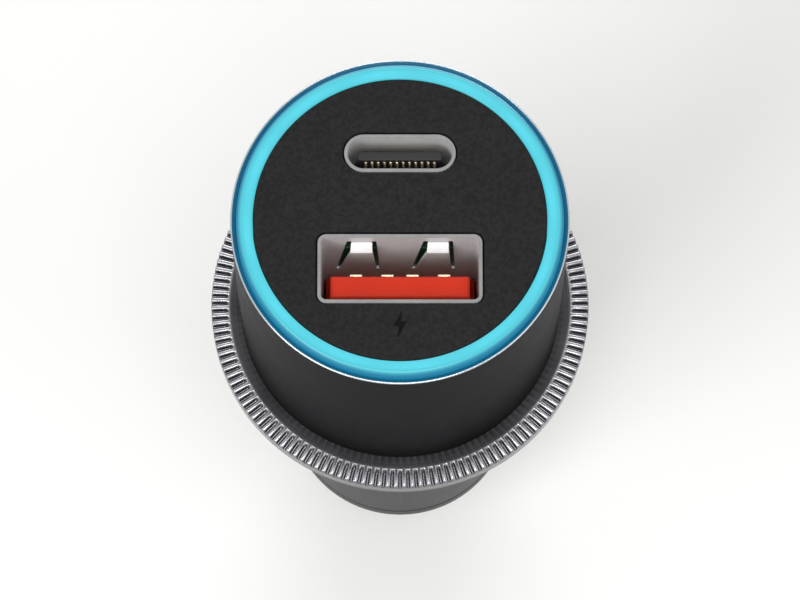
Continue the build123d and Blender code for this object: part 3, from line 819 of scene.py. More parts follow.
def capped(low, high, axis, cap, inset, wide=1.0, tall=1.0):
    """A chip's body with metal over each end along an axis, on a share of its width and height."""
    made = bmesh.new()
    thin = Vector((inset, inset, inset))
    block(made, low + thin, high - thin)
    across = 2 - axis
    narrower = (high[across] - low[across]) * (1 - wide) / 2
    lower = (high.y - low.y) * (1 - tall)
    for end in (0, 1):
        cap_low, cap_high = low.copy(), high.copy()
        if end:
            cap_low[axis] = high[axis] - cap
        else:
            cap_high[axis] = low[axis] + cap
        cap_low[across] += narrower
        cap_high[across] -= narrower
        # The board is on the side nearer to the plug's axis
        if high.y < 0:
            cap_low.y += lower
        else:
            cap_high.y -= lower
        block(made, cap_low, cap_high, 1.0)
    return made


def dress_nodes(rows):
    """Copies of CAD nodes with their triangles merged into flats and their edges eased."""
    for node, name, material, bevel, slot in rows:
        made = bmesh.new()
        made.from_mesh(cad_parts[node].data)
        bmesh.ops.remove_doubles(made, verts=made.verts, dist=CAD_WELD)
        bmesh.ops.dissolve_limit(
            made,
            angle_limit=CAD_FLAT,
            verts=made.verts,
            edges=made.edges,
            use_dissolve_boundaries=False,
        )
        fit_piece(eased(piece_from(name, made, material), bevel), "plug", slot, node)


class Growth(Nodes):
    """A Geometry Nodes tree with named inputs, which ends in a plain mesh of one material."""

    def __init__(self, name, sockets):
        super().__init__(bpy.data.node_groups.new(name, "GeometryNodeTree"))
        sides = self.tree.interface
        for label, kind in (("Geometry", "Geometry"), *sockets, ("Material", "Material")):
            sides.new_socket(label, in_out="INPUT", socket_type="NodeSocket" + kind)
        sides.new_socket("Geometry", in_out="OUTPUT", socket_type="NodeSocketGeometry")
        self.given = {output.socket.name: output for output in self.node("NodeGroupInput")}

    def line(self, copies, start=(0, 0, 0), step=(0, 0, 0)):
        """Points in a row, or all in one place."""
        row = {"Count": copies, "Start Location": start, "Offset": step}
        return self.node("GeometryNodeMeshLine", row)[0]

    def along(self, distance):
        """A vector of that length along X."""
        return self.node("ShaderNodeCombineXYZ", {"X": distance})[0]

    def copies(self, points, form, turn=(0, 0, 0)):
        """A copy of a form on each point, turned by the angles there."""
        rotation = self.node("FunctionNodeEulerToRotation", {"Euler": turn})[0]
        feeds = {"Points": points, "Instance": form, "Rotation": rotation}
        return self.node("GeometryNodeInstanceOnPoints", feeds)[0]

    def close(self, geometry):
        """Makes the copies real, sets the material and ends the tree."""
        real = self.node("GeometryNodeRealizeInstances", {"Geometry": geometry})[0]
        feeds = {"Geometry": real, "Material": self.given["Material"]}
        self.node("NodeGroupOutput", self.node("GeometryNodeSetMaterial", feeds))
        return self.tree


def grow(piece, tree, values):
    """Runs a tree on a piece with its named inputs, and keeps the result as a plain mesh."""
    modifier = piece.modifiers.new("grow", "NODES")
    modifier.node_group = tree
    for item in tree.interface.items_tree:
        if item.in_out == "INPUT" and item.name in values:
            modifier[item.identifier] = values[item.name]
    return settle(piece)


def round_copies_tree():
    """Copies of one form all round the axis."""
    tree = Growth("round_copies", (("Copies", "Int"),))
    copies = tree.given["Copies"]
    turn = tree.node("GeometryNodeInputIndex")[0].math("DIVIDE", copies) * (2 * math.pi)
    angles = tree.node("ShaderNodeCombineXYZ", {"Z": turn})[0]
    return tree.close(tree.copies(tree.line(copies), tree.given["Geometry"], angles))


def two_rows_tree():
    """Copies of one form in a row along X, and that row once more, turned about the origin."""
    tree = Growth("two_rows", (("Copies", "Int"), ("Pitch", "Float"), ("Turn", "Vector")))
    copies, pitch = tree.given["Copies"], tree.given["Pitch"]
    start = (copies - 1) * pitch * -0.5
    points = tree.line(copies, tree.along(start), tree.along(pitch))
    row = tree.copies(points, tree.given["Geometry"])
    feeds = {"Vector": tree.given["Turn"], "Scale": tree.node("GeometryNodeInputIndex")[0]}
    turn = tree.node("ShaderNodeVectorMath", feeds, operation="SCALE")[0]
    return tree.close(tree.copies(tree.line(2), row, turn))


def spring_tree():
    """Round wire swept along a helix."""
    sizes = ("Turns", "Coil radius", "Wire radius", "Height")
    tree = Growth("wire_spring", [(size, "Float") for size in sizes])
    turns, coil, wire, height = (tree.given[size] for size in sizes)
    helix = {
        "Resolution": 48,
        "Rotations": turns,
        "Start Radius": coil,
        "End Radius": coil,
        "Height": height,
    }
    section = {"Resolution": 16, "Radius": wire}
    sweep = {
        "Curve": tree.node("GeometryNodeCurveSpiral", helix)[0],
        "Profile Curve": tree.node("GeometryNodeCurvePrimitiveCircle", section)[0],
        "Fill Caps": True,
    }
    return tree.close(tree.node("GeometryNodeCurveToMesh", sweep)[0])


class CHARGER_OT_face(bpy.types.Operator):
    """Makes the matte face with its two eased openings, and the printed charge mark."""

    bl_idname = "charger.face"
    bl_label = "Face"

    def execute(self, context):
        sizes = context.scene.charger_head
        colours = context.scene.charger_colours
        top = RING_HIGH.z - sizes.face_drop
        face = eased(piece_from("face", self.disc(sizes, top), face_finish(colours)))
        fit_piece(face, "plug", "face_grey", "face_plate")
        half = sizes.mark_height / 2
        bolt = [(x * half, y * half - sizes.mark_place) for x, y in BOLT]
        low, high = top - MARK_DEPTH, top + MARK_PROUD
        made = prism([(*point, low) for point in bolt], [(*point, high) for point in bolt])
        ink = moulded("mark_ink", colours.mark, 0.06 * MM, 0.003 * MM, 0.6, 0.05)
        mark = piece_from("charge_mark", made, ink)
        mark.data.shade_flat()
        fit_piece(mark, "plug", "face_grey")
        return {"FINISHED"}

    def disc(self, sizes, top):
        """The disc with its openings, from a filled curve with a rounded edge."""
        steps = [2 * math.pi * step / ROUND_STEPS for step in range(ROUND_STEPS)]
        radius = sizes.face_radius
        outlines = [[(radius * math.cos(turn), radius * math.sin(turn)) for turn in steps]]
        # The narrow opening's arcs stop just short of meeting
        narrow_corner = (NARROW_HIGH.y - NARROW_LOW.y) / 2 - 10 * WELD
        for low, high, corner in (
            (WIDE_LOW, WIDE_HIGH, sizes.wide_corner),
            (NARROW_LOW, NARROW_HIGH, narrow_corner),
        ):
            gap = sizes.port_gap
            ends = (low.x - gap, low.y - gap, high.x + gap, high.y + gap)
            outlines.append(rounded_box(*ends, corner + gap, steps=10))
        curve = bpy.data.curves.new("face_outline", "CURVE")
        curve.dimensions = "2D"
        curve.fill_mode = "BOTH"
        for outline in outlines:
            spline = curve.splines.new("POLY")
            spline.points.add(len(outline) - 1)
            for point, place in zip(spline.points, outline):
                point.co = (*place, 0, 1)
            spline.use_cyclic_u = True
        curve.extrude = (top - FACE_LOW.z) / 2 - sizes.face_edge
        curve.bevel_depth = sizes.face_edge
        curve.bevel_resolution = 3
        curve.offset = -sizes.face_edge
        holder = bpy.data.objects.new("face_outline", curve)
        made = bmesh.new()
        made.from_mesh(bpy.data.meshes.new_from_object(holder))
        bmesh.ops.translate(made, verts=made.verts, vec=(0, 0, (top + FACE_LOW.z) / 2))
        bpy.data.objects.remove(holder)
        return made


class CHARGER_OT_ring(bpy.types.Operator):
    """Makes the lit ring round the face."""

    bl_idname = "charger.ring"
    bl_label = "Light ring"

    def execute(self, context):
        sizes = context.scene.charger_head
        inside = context.scene.charger_inside
        inner = sizes.face_radius + sizes.ring_gap
        outline = rounded(
            (
                (inner, RING_LOW.z, 0),
                (RING_HIGH.x, RING_LOW.z, 0),
                (RING_HIGH.x, SHELL_HIGH.z, RING_EDGE),
                (sizes.ring_flat, RING_HIGH.z, RING_SHOULDER),
                (inner, RING_HIGH.z, RING_LIP),
            )
        )
        lit = ring_finish(context.scene.charger_colours, sizes, inside.lamps, inside.lamp_turn)
        fit_piece(eased(turned("ring", outline, lit)), "plug", "ring_cyan", "light_ring")
        return {"FINISHED"}


class CHARGER_OT_shell(bpy.types.Operator):
    """Makes the head's thin coated cup with its bright rim."""

    bl_idname = "charger.shell"
    bl_label = "Head shell"

    def execute(self, context):
        sizes = context.scene.charger_head
        outer = SHELL_HIGH.x
        inner = outer - sizes.shell_wall
        hole = context.scene.charger_collar.bore
        floor = SHELL_LOW.z + sizes.shell_floor
        outline = rounded(
            (
                (hole, SHELL_LOW.z, SHELL_EDGE),
                (outer, SHELL_LOW.z, SHELL_CORNER),
                (outer, SHELL_HIGH.z, sizes.rim_round),
                (inner + sizes.rim_chamfer, SHELL_HIGH.z, RIM_EDGE),
                (inner, SHELL_HIGH.z - sizes.rim_chamfer, RIM_EDGE),
                (inner, floor, SHELL_CORNER),
                (hole, floor, SHELL_EDGE),
            )
        )
        shell = eased(turned("shell", outline, shell_finish(context.scene.charger_colours)))
        fit_piece(shell, "plug", "head_black", "head_shell")
        return {"FINISHED"}


class CHARGER_OT_collar(bpy.types.Operator):
    """Makes one sector of the fluted collar and copies it round the axis."""

    bl_idname = "charger.collar"
    bl_label = "Fluted collar"

    def execute(self, context):
        sizes = context.scene.charger_collar
        start = sizes.radius - sizes.flute_length
        collar = piece_from("collar", self.sector(sizes, start))
        plating = collar_finish(context.scene.charger_colours, start)
        grow(collar, round_copies_tree(), {"Copies": sizes.flutes, "Material": plating})
        made = bmesh.new()
        made.from_mesh(collar.data)
        clean(made)
        made.to_mesh(collar.data)
        made.free()
        eased(collar, FLUTE_EDGE, steps=1, limit=30)
        fit_piece(collar, "plug", "collar_metal", "fluted_collar")
        return {"FINISHED"}

    def sector(self, sizes, start):
        """One groove with half a land on each side, from the bore over the top and under."""
        edge, top = sizes.radius, sizes.height
        # Stations: radius, height, share of the groove's depth
        stations = (
            (sizes.bore, sizes.countersink, 0),
            (sizes.bore, top, 0),
            *((start + run, top, share) for run, share in FLUTE_RUN_IN),
            (edge - COLLAR_BRIM, top, 1),
            (edge, top - COLLAR_BRIM, FLUTE_BRIM),
            (edge, top - FLUTE_FALL, 0),
            (edge, COLLAR_FOOT, 0),
            (edge - COLLAR_FOOT, 0, 0),
            (sizes.bore + sizes.countersink, 0, 0),
        )
        made = bmesh.new()
        rows = []
        for share, weight in FLUTE_COLUMNS:
            turn = 2 * math.pi / sizes.flutes * share
            row = []
            for radius, height, depth in stations:
                sunk = height - sizes.flute_depth * depth * weight
                point = (radius * math.cos(turn), radius * math.sin(turn), sunk)
                row.append(made.verts.new(point))
            rows.append(row)
        for here, there in zip(rows, rows[1:]):
            for index in range(len(stations)):
                after = (index + 1) % len(stations)
                made.faces.new((here[index], here[after], there[after], there[index]))
        return made


class CHARGER_OT_wide_port(bpy.types.Operator):
    """Makes the wide port's shell, red tongue and contacts."""

    bl_idname = "charger.wide_port"
    bl_label = "Wide port"

    def execute(self, context):
        colours = context.scene.charger_colours
        steel = port_finish("port_steel", colours.steel, WIDE_HIGH.z)
        red = tongue_finish(colours)
        gold = plated("contact_gold", colours.gold, 0.26, (1, 1, 10), 0.1 * MM)
        dress_nodes(
            (
                ("usb_a_shell", "wide_shell", steel, 0.07 * MM, "port_steel"),
                ("usb_a_tongue", "wide_tongue", red, 0.1 * MM, "tongue_red"),
                ("usb_a_contacts", "wide_contacts", gold, 0.05 * MM, "contact_gold"),
            )
        )
        return {"FINISHED"}


class CHARGER_OT_narrow_port(bpy.types.Operator):
    """Makes the narrow port's shell, dark tongue and two rows of contacts."""

    bl_idname = "charger.narrow_port"
    bl_label = "Narrow port"

    def execute(self, context):
        sizes = context.scene.charger_inside
        colours = context.scene.charger_colours
        steel = port_finish("narrow_steel", colours.steel, NARROW_HIGH.z)
        dark = moulded("tongue_dark", colours.dark_tongue, 0.1 * MM, 0.005 * MM, 0.45, 0.4)
        gold = plated("narrow_gold", colours.gold, 0.24, (1, 1, 10), 0.08 * MM)
        dress_nodes(
            (
                ("usb_c_shell", "narrow_shell", steel, 0.06 * MM, "port_steel"),
                ("usb_c_tongue", "narrow_tongue", dark, 0.06 * MM, "tongue_black"),
            )
        )
        low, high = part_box("usb_c_contacts")
        half, thick = sizes.contact_width / 2, sizes.contact_thick
        middle = (low.y + high.y) / 2
        outline = rounded(
            (
                (-half, low.z, CONTACT_ROOT),
                (half, low.z, CONTACT_ROOT),
                (half, high.z, CONTACT_NOSE),
                (-half, high.z, CONTACT_NOSE),
            ),
            steps=3,
        )
        shift = (0, high.y - middle - thick / 2, 0)
        bars = piece_from("narrow_contacts", pressed(outline, thick, shift))
        values = {
            "Copies": sizes.contacts,
            "Pitch": sizes.contact_pitch,
            "Turn": (0, 0, math.pi),
            "Material": gold,
        }
        grow(bars, two_rows_tree(), values)
        bars.data.transform(Matrix.Translation((0, middle, 0)))
        fit_piece(bars, "plug", "contact_gold", "usb_c_contacts")
        return {"FINISHED"}


class CHARGER_OT_barrel(bpy.types.Operator):
    """Makes the barrel with its tapered nose and two slots."""

    bl_idname = "charger.barrel"
    bl_label = "Barrel"

    def execute(self, context):
        sizes = context.scene.charger_barrel
        contacts = context.scene.charger_contacts
        outer, end = BARREL_HIGH.x, BARREL_LOW.z
        cone = end + sizes.nose
        outline = self.outline(sizes, contacts.tip_radius + sizes.guide, outer, end)
        seam = (sizes.seam_width / 2 / outer, sizes.seam_height)
        black = barrel_finish(context.scene.charger_colours, cone)
        barrel = turned("barrel", outline, black, seam=seam)
        half = LEAF_HIGH.y + sizes.slot_gap
        top = LEAF_HIGH.z - contacts.leaf_foot + sizes.slot_gap
        bottom = LEAF_LOW.z + contacts.leaf_foot - sizes.slot_gap
        slot = rounded_box(-half, bottom, half, top, sizes.slot_corner)
        sides = [[(side * outer, y, z) for y, z in slot] for side in (-2, 2)]
        cutter = piece_from("slot_cutter", prism(*sides))
        cut = barrel.modifiers.new("slots", "BOOLEAN")
        cut.operation = "DIFFERENCE"
        cut.solver = "EXACT"
        cut.object = cutter
        settle(barrel)
        bpy.data.objects.remove(cutter)
        eased(barrel, SLOT_EDGE, limit=50)
        fit_piece(barrel, "plug", "barrel_black", "barrel_housing")
        return {"FINISHED"}

    def outline(self, sizes, hole, outer, end):
        """Half section of the barrel, from the nose's floor outside and up to the neck."""
        lower = outer - sizes.relief
        inner = outer - sizes.wall
        neck = outer - sizes.neck_step
        floor = end + sizes.nose_floor
        cone = end + sizes.nose
        line = cone + LINE_PLACE
        cut = lower - LINE_DEPTH
        slope = LINE_WIDTH / 4
        line_top = line + LINE_WIDTH
        return rounded(
            (
                (inner, floor, BORE_ROUND),
                (hole, floor, SOFT_EDGE),
                (hole, end, SOFT_EDGE),
                (sizes.nose_end, end, NOSE_ROUND),
                (lower, cone, CONE_ROUND),
                (lower, line, CRISP_EDGE),
                (cut, line + slope, CRISP_EDGE),
                (cut, line_top - slope, CRISP_EDGE),
                (lower, line_top, CRISP_EDGE),
                (lower, -sizes.land - sizes.relief, SOFT_EDGE),
                (outer, -sizes.land, SOFT_EDGE),
                (outer, 0, CRISP_EDGE),
                (neck, sizes.neck_step, CRISP_EDGE),
                (neck, BARREL_HIGH.z, SOFT_EDGE),
                (inner, BARREL_HIGH.z, SOFT_EDGE),
            )
        )


class CHARGER_OT_side_contacts(bpy.types.Operator):
    """Makes the two bowed side contacts with their wipers."""

    bl_idname = "charger.side_contacts"
    bl_label = "Side contacts"

    def execute(self, context):
        sizes = context.scene.charger_contacts
        barrel = context.scene.charger_barrel
        nickel = plated("leaf_nickel", context.scene.charger_colours.nickel, 0.27, (1, 1, 18))
        bore = BARREL_HIGH.x - barrel.wall - barrel.guide
        foot = math.sqrt(bore**2 - LEAF_HIGH.y**2)
        middle = (LEAF_HIGH.z + LEAF_LOW.z) / 2
        outline = self.outline(sizes, foot, LEAF_HIGH.z - middle)
        wiper_under = BOARD_HIGH.y + WIPER_GAP
        wiper_low = (LEAF_LOW.x, wiper_under, LEAF_HIGH.z - sizes.leaf_foot)
        wiper_high = (foot, wiper_under + WIPER, LEAF_HIGH.z)
        for side, mirror in (("right", 1), ("left", -1)):
            made = pressed(outline, LEAF_HIGH.y - LEAF_LOW.y, (0, 0, middle))
            box(made, wiper_low, wiper_high)
            bmesh.ops.scale(made, verts=made.verts, vec=(mirror, 1, 1))
            leaf = eased(piece_from("leaf_" + side, made, nickel), LEAF_EDGE)
            fit_piece(leaf, "side_" + side, "contact_nickel", "side_contact_" + side)
        return {"FINISHED"}

    def outline(self, sizes, foot, end):
        """A leaf seen from the side, two feet and a bow: down its outside and up its inside."""
        top, crest = end - sizes.leaf_foot, sizes.leaf_crest / 2
        corners = []
        for side, inset in ((1, 0), (-1, sizes.leaf)):
            half = (
                (foot - inset, end, 0),
                (foot - inset, top, sizes.leaf_bend + inset),
                (LEAF_HIGH.x - inset, crest, sizes.leaf_bow - inset),
            )
            corners += [(x, side * z, radius) for x, z, radius in half]
            corners += [(x, -side * z, radius) for x, z, radius in reversed(half)]
        return rounded(corners, steps=12)


class CHARGER_OT_tip(bpy.types.Operator):
    """Makes the domed tip and the round-wire spring behind it."""

    bl_idname = "charger.tip"
    bl_label = "Tip and spring"

    def execute(self, context):
        sizes = context.scene.charger_contacts
        colours = context.scene.charger_colours
        radius, dome = sizes.tip_radius, sizes.tip_dome
        shoulder = TIP_LOW.z + dome
        turns = [math.pi / 2 * step / DOME_STEPS for step in range(DOME_STEPS + 1)]
        outline = [(radius * math.sin(turn), shoulder - dome * math.cos(turn)) for turn in turns]
        outline += rounded(
            (
                (radius, shoulder + PIN_START, 0),
                (radius, TIP_HIGH.z - sizes.flange, TIP_EDGE),
                (TIP_HIGH.x, TIP_HIGH.z - sizes.flange, TIP_EDGE),
                (TIP_HIGH.x, TIP_HIGH.z, TIP_EDGE),
                (0, TIP_HIGH.z, 0),
            )
        )
        tip = eased(turned("tip", outline, turned_nickel_finish(colours), TIP_STEPS))
        fit_piece(tip, "tip", "tip_nickel", "tip_contact")
        self.spring(sizes, colours)
        return {"FINISHED"}

    def spring(self, sizes, colours):
        """The spring between the tip's flange and its seat."""
        seat = SEAT_LOW.z
        room = seat - TIP_HIGH.z
        end = sizes.wire + SPRING_GAP
        spring = piece_from("spring", bmesh.new())
        values = {
            "Turns": sizes.turns,
            "Coil radius": sizes.coil,
            "Wire radius": sizes.wire,
            "Height": room - 2 * end,
            "Material": plated("spring_wire", colours.wire, 0.3, (6, 6, 1), 0.12 * MM),
        }
        grow(spring, spring_tree(), values)
        spring.data.transform(Matrix.Translation((0, 0, TIP_HIGH.z + end)))
        spring.data.shade_smooth()
        fit_piece(spring, "plug", "spring_steel", "tip_spring")
        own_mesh(spring)


class CHARGER_OT_boards(bpy.types.Operator):
    """Makes the boards, the pins between them, the ring's lamps and the spring's seat."""

    bl_idname = "charger.boards"
    bl_label = "Boards and lamps"

    def execute(self, context):
        colours = context.scene.charger_colours
        mask = board_finish(colours)
        pins = plated("pin_gold", colours.gold, 0.26, (1, 8, 1), 0.1 * MM)
        seat = plated("seat_nickel", colours.nickel, 0.3, (8, 1, 1))
        dress_nodes(
            (
                ("main_board", "long_board", mask, 0.06 * MM, "board_green"),
                ("port_board", "cross_board", mask, 0.06 * MM, "board_green"),
                ("ring_board", "lamp_board", mask, 0.06 * MM, "board_green"),
                ("board_link_pins", "link_pins", pins, 0.12 * MM, "contact_gold"),
                ("tip_terminal", "spring_seat", seat, 0.1 * MM, "contact_nickel"),
            )
        )
        sizes = context.scene.charger_inside
        lamps = eased(piece_from("ring_lamps", self.lamp(sizes)), 0.05 * MM)
        package = package_finish("lamp_package", colours.lamp, colours.window, 0.4, metal=False)
        grow(lamps, round_copies_tree(), {"Copies": sizes.lamps, "Material": package})
        fit_piece(lamps, "plug", "lamp_white", "ring_leds")
        return {"FINISHED"}

    def lamp(self, sizes):
        """The first lamp: a body, and a window that stands a little out of it."""
        low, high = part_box("ring_leds")
        made = bmesh.new()
        for width, long, under, top, trim in (
            (sizes.lamp_width, sizes.lamp_length, low.z, high.z - WINDOW_RISE, 0.0),
            (WINDOW_WIDTH, WINDOW_LENGTH, high.z - WINDOW_DEPTH, high.z, 1.0),
        ):
            near, far = sizes.lamp_circle - width / 2, sizes.lamp_circle + width / 2
            block(made, (near, -long / 2, under), (far, long / 2, top), trim)
        turn = Matrix.Rotation(sizes.lamp_turn, 3, "Z")
        bmesh.ops.rotate(made, verts=made.verts, matrix=turn)
        return made


class CHARGER_OT_components(bpy.types.Operator):
    """Makes the converter's components on the main board."""

    bl_idname = "charger.components"
    bl_label = "Components"

    def execute(self, context):
        sizes = context.scene.charger_inside
        colours = context.scene.charger_colours
        black, tan, white, grey = (
            package_finish("package_" + name, body, colours.cap, rough)
            for name, body, rough in (
                ("black", colours.chip, 0.55),
                ("tan", colours.tan, 0.5),
                ("white", colours.ceramic, 0.55),
                ("ferrite", colours.ferrite, 0.7),
            )
        )
        # Axis of the ends, cap and inset in millimetres, cap's share of the width and the height
        for node, name, axis, cap, inset, wide, tall, material, slot in (
            ("fuse_chip", "fuse", 2, 0.9, 0.06, 1, 1, white, "fuse_white"),
            ("output_capacitor", "block_capacitor", 2, 0.2, 0.12, 0.56, 0.5, tan, "capacitor_tan"),
            ("surge_diode", "diode", 2, 0.25, 0.16, 0.55, 0.55, black, "chip_black"),
            ("power_inductor", "inductor", 2, 0.25, 0.14, 0.45, 0.6, grey, "ferrite_grey"),
            ("port_chip", "small_controller", 0, 0.2, 0.04, 0.9, 0.25, black, "chip_black"),
        ):
            made = capped(*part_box(node), axis, cap * MM, inset * MM, wide, tall)
            fit_piece(eased(piece_from(name, made, material), 0.07 * MM), "plug", slot, node)
        self.small_chips(sizes, tan)
        self.controller(sizes, black)
        self.controller_leads(sizes, colours)
        self.can(sizes, colours)
        self.can_leads(sizes, colours)
        return {"FINISHED"}

    def small_chips(self, sizes, material):
        """Two columns of small capped chips, made along X and turned upright."""
        low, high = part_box("small_chips")
        half = sizes.small_width / 2
        outer = Vector((half, high.y, high.x))
        inner = Vector((-half, low.y, high.x - sizes.small_length))
        made = capped(inner, outer, 2, SMALL_CAP, SMALL_INSET)
        chips = eased(piece_from("small_capacitors", made), 0.04 * MM)
        values = {
            "Copies": sizes.small_rows,
            "Pitch": (high.z - low.z - sizes.small_width) / (sizes.small_rows - 1),
            "Turn": (0, math.pi, 0),
            "Material": material,
        }
        grow(chips, two_rows_tree(), values)
        chips.data.transform(Matrix.Rotation(math.pi / 2, 4, "Y"))
        chips.data.transform(Matrix.Translation((0, 0, (low.z + high.z) / 2)))
        fit_piece(chips, "plug", "capacitor_tan", "small_chips")

    def controller(self, sizes, material):
        """The controller's body, between its two rows of leads."""
        low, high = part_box("controller_chip")
        made = bmesh.new()
        under = Vector((0, -CONTROLLER_GAP, -sizes.lead_reach))
        block(made, low + Vector((0, 0, sizes.lead_reach)), high + under)
        body = eased(piece_from("controller", made, material), 0.12 * MM)
        fit_piece(body, "plug", "chip_black", "controller_chip")

    def controller_leads(self, sizes, colours):
        """The controller's bent leads, from the middle of its body down to the board."""
        low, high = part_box("controller_chip")
        middle = (low + high) / 2
        thick = sizes.lead_thick
        end = high.z - middle.z
        start = end - sizes.lead_reach - LEAD_ROOT
        knee = end - sizes.lead_reach + LEAD_KNEE
        outline = rounded(
            (
                (start, middle.y, 0),
                (knee, middle.y, LEAD_CREST),
                (knee, high.y - thick, LEAD_BEND),
                (end, high.y - thick, 0),
                (end, high.y, 0),
                (knee - thick, high.y, LEAD_CREST),
                (knee - thick, middle.y + thick, LEAD_BEND),
                (start, middle.y + thick, 0),
            ),
            steps=2,
        )
        half = sizes.lead_width / 2
        sides = [[(side, y, z) for z, y in outline] for side in (-half, half)]
        leads = piece_from("controller_leads", prism(*sides))
        values = {
            "Copies": sizes.leads,
            "Pitch": sizes.lead_pitch,
            "Turn": (0, math.pi, 0),
            "Material": plated("lead_tin", colours.tin, 0.32, (1, 6, 1), 0.1 * MM),
        }
        grow(leads, two_rows_tree(), values)
        leads.data.transform(Matrix.Translation((middle.x, 0, middle.z)))
        fit_piece(eased(leads), "plug", "contact_nickel")

    def can(self, sizes, colours):
        """The lying capacitor: a beaded can with a rubber end and a panel sunk in the other."""
        low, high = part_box("input_capacitor")
        axis = (low.y + high.y) / 2
        outer = high.x
        end = low.z + sizes.can_room
        bead = end + BEAD_PLACE
        outline = rounded(
            (
                (0, end + CAN_SINK, 0),
                (CAN_BUNG, end + CAN_SINK, CAN_CRISP),
                (CAN_BUNG + CAN_CRISP, end, CAN_CRISP),
                (outer, end, CAN_CURL),
                (outer, bead - BEAD_HALF, BEAD_ROUND),
                (outer - BEAD_DEPTH, bead, BEAD_ROUND),
                (outer, bead + BEAD_HALF, BEAD_ROUND),
                (outer, high.z, CAN_SHOULDER),
                (CAN_LAND, high.z, CAN_CRISP),
                (CAN_PANEL, high.z - CAN_STEP, CAN_CRISP),
                (0, high.z - CAN_STEP, 0),
            )
        )
        can = turned("can", outline, can_finish(colours, end, CAN_BUNG, axis), CAN_STEPS)
        can.data.transform(Matrix.Translation((0, axis, 0)))
        fit_piece(eased(can), "plug", "can_aluminium", "input_capacitor")

    def can_leads(self, sizes, colours):
        """The can's two leads: out of the rubber end, and down to the board."""
        low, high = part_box("input_capacitor")
        axis = (low.y + high.y) / 2
        end = low.z + sizes.can_room
        wire = sizes.can_wire / 2
        back = end - 3 * wire
        made = bmesh.new()
        for place in (-CAN_SPREAD, CAN_SPREAD):
            left, right = place - wire, place + wire
            box(made, (left, axis - wire, back), (right, axis + wire, end + CAN_ROOT))
            box(made, (left, BOARD_HIGH.y, back - wire), (right, axis + wire, back + wire))
        tin = plated("wire_tin", colours.tin, 0.3, (1, 8, 1), 0.1 * MM)
        leads = eased(piece_from("can_leads", made, tin), 0.6 * wire)
        fit_piece(leads, "plug", "contact_nickel")


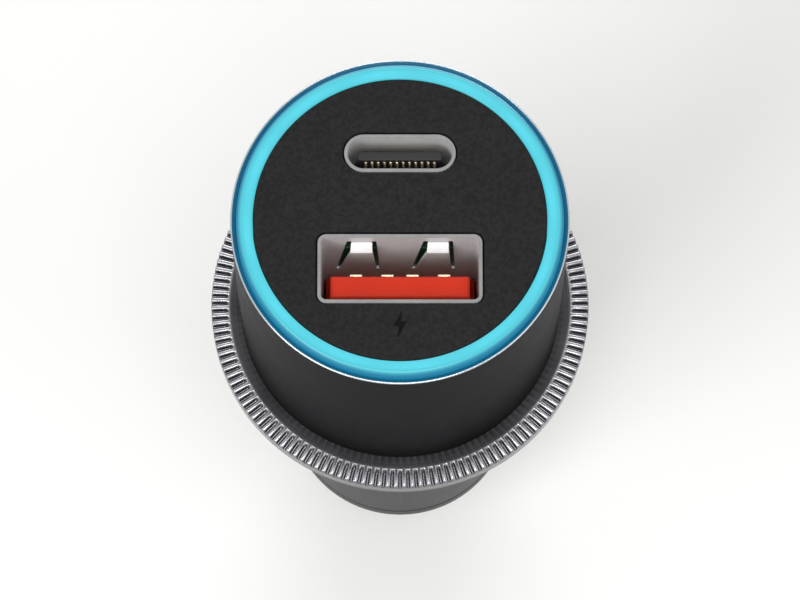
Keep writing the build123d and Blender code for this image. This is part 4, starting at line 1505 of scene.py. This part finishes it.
class CHARGER_OT_stage(bpy.types.Operator):
    """Makes the floor, the lamps, the world and the camera."""

    bl_idname = "charger.stage"
    bl_label = "Stage"

    def execute(self, context):
        scene = context.scene
        sizes = scene.charger_stage
        made = bmesh.new()
        bmesh.ops.create_grid(made, x_segments=1, y_segments=1, size=FLOOR_HALF)
        under = (0, 0, CAD_BOX[0].z - FLOOR_GAP)
        bmesh.ops.translate(made, verts=made.verts, vec=under)
        piece_from("floor", made, floor_finish(scene.charger_colours))
        # Place in metres, width, height, share of the key lamp's power
        for name, place, width, height, power in (
            ("key", (-0.24, -0.24, 0.32), 0.24, 0.24, 1.0),
            ("fill", (0.34, -0.16, 0.24), 0.3, 0.3, 0.3),
            ("over", (0.02, -0.15, 0.42), 0.16, 0.16, 0.45),
            ("back", (0.02, 0.36, 0.26), 0.36, 0.16, 0.6),
        ):
            lamp = bpy.data.lights.new(name, "AREA")
            lamp.shape = "RECTANGLE"
            lamp.size = width
            lamp.size_y = height
            lamp.energy = sizes.lamp_power * power
            self.aimed(scene, name, lamp, Vector(place), Vector())
        self.world(scene, sizes)
        lens = bpy.data.cameras.new("camera")
        lens.lens = sizes.lens
        lens.clip_start = 10 * MM
        away = Vector((0, -math.cos(sizes.elevation), math.sin(sizes.elevation)))
        place = Vector((0, 0, RING_HIGH.z)) + away * sizes.distance
        scene.camera = self.aimed(scene, "camera", lens, place, Vector((0, 0, sizes.aim)))
        scene.view_settings.view_transform = "Standard"
        return {"FINISHED"}

    def aimed(self, scene, name, data, place, aim):
        """A lamp or a camera at a place, turned to what it is aimed at."""
        holder = bpy.data.objects.new(name, data)
        holder.location = place
        holder.rotation_euler = (aim - place).to_track_quat("-Z", "Y").to_euler()
        scene.collection.objects.link(holder)
        return holder

    def world(self, scene, sizes):
        """A white world, brighter where it is seen or mirrored than as light on the object."""
        scene.world = bpy.data.worlds.new("studio")
        scene.world.use_nodes = True
        nodes = Nodes(scene.world.node_tree)
        rays = {ray.socket.name: ray for ray in nodes.node("ShaderNodeLightPath")}
        seen = rays["Is Camera Ray"]
        for kind in ("Is Glossy Ray", "Is Transmission Ray"):
            seen = seen.math("MAXIMUM", rays[kind])
        background = nodes.tree.nodes["Background"].inputs
        nodes.feed(background["Color"], (1, 1, 1))
        strength = sizes.world_light + seen * (sizes.world_seen - sizes.world_light)
        nodes.feed(background["Strength"], strength)


class CHARGER_PT_pieces(bpy.types.Panel):
    """Lists the operators and the sizes."""

    bl_idname = "CHARGER_PT_pieces"
    bl_label = "Car charger plug"
    bl_space_type = "VIEW_3D"
    bl_region_type = "UI"
    bl_category = "Charger"

    def draw(self, context):
        column = self.layout.column()
        for operator in OPERATORS:
            column.operator(operator.bl_idname)
        for group in GROUPS:
            owner = getattr(context.scene, group)
            column.label(text=group)
            for name in owner.__annotations__:
                column.prop(owner, name)


GROUPS = {
    "charger_head": ChargerHeadSizes,
    "charger_collar": ChargerCollarSizes,
    "charger_barrel": ChargerBarrelSizes,
    "charger_contacts": ChargerContactSizes,
    "charger_inside": ChargerInsideSizes,
    "charger_colours": ChargerColours,
    "charger_stage": ChargerStageSizes,
}

OPERATORS = (
    CHARGER_OT_face,
    CHARGER_OT_ring,
    CHARGER_OT_shell,
    CHARGER_OT_collar,
    CHARGER_OT_wide_port,
    CHARGER_OT_narrow_port,
    CHARGER_OT_barrel,
    CHARGER_OT_side_contacts,
    CHARGER_OT_tip,
    CHARGER_OT_boards,
    CHARGER_OT_components,
    CHARGER_OT_stage,
)


def register():
    """Registers the classes and gives the scene their settings."""
    for made in (*GROUPS.values(), *OPERATORS, CHARGER_PT_pieces):
        bpy.utils.register_class(made)
    for name, group in GROUPS.items():
        setattr(bpy.types.Scene, name, bpy.props.PointerProperty(type=group))


def unregister():
    """Takes the settings and the classes away again."""
    for name in GROUPS:
        delattr(bpy.types.Scene, name)
    for made in reversed((*GROUPS.values(), *OPERATORS, CHARGER_PT_pieces)):
        bpy.utils.unregister_class(made)


def main():
    register()
    for operator in OPERATORS:
        group, name = operator.bl_idname.split(".")
        getattr(getattr(bpy.ops, group), name)()


if __name__ == "__main__":
    main()
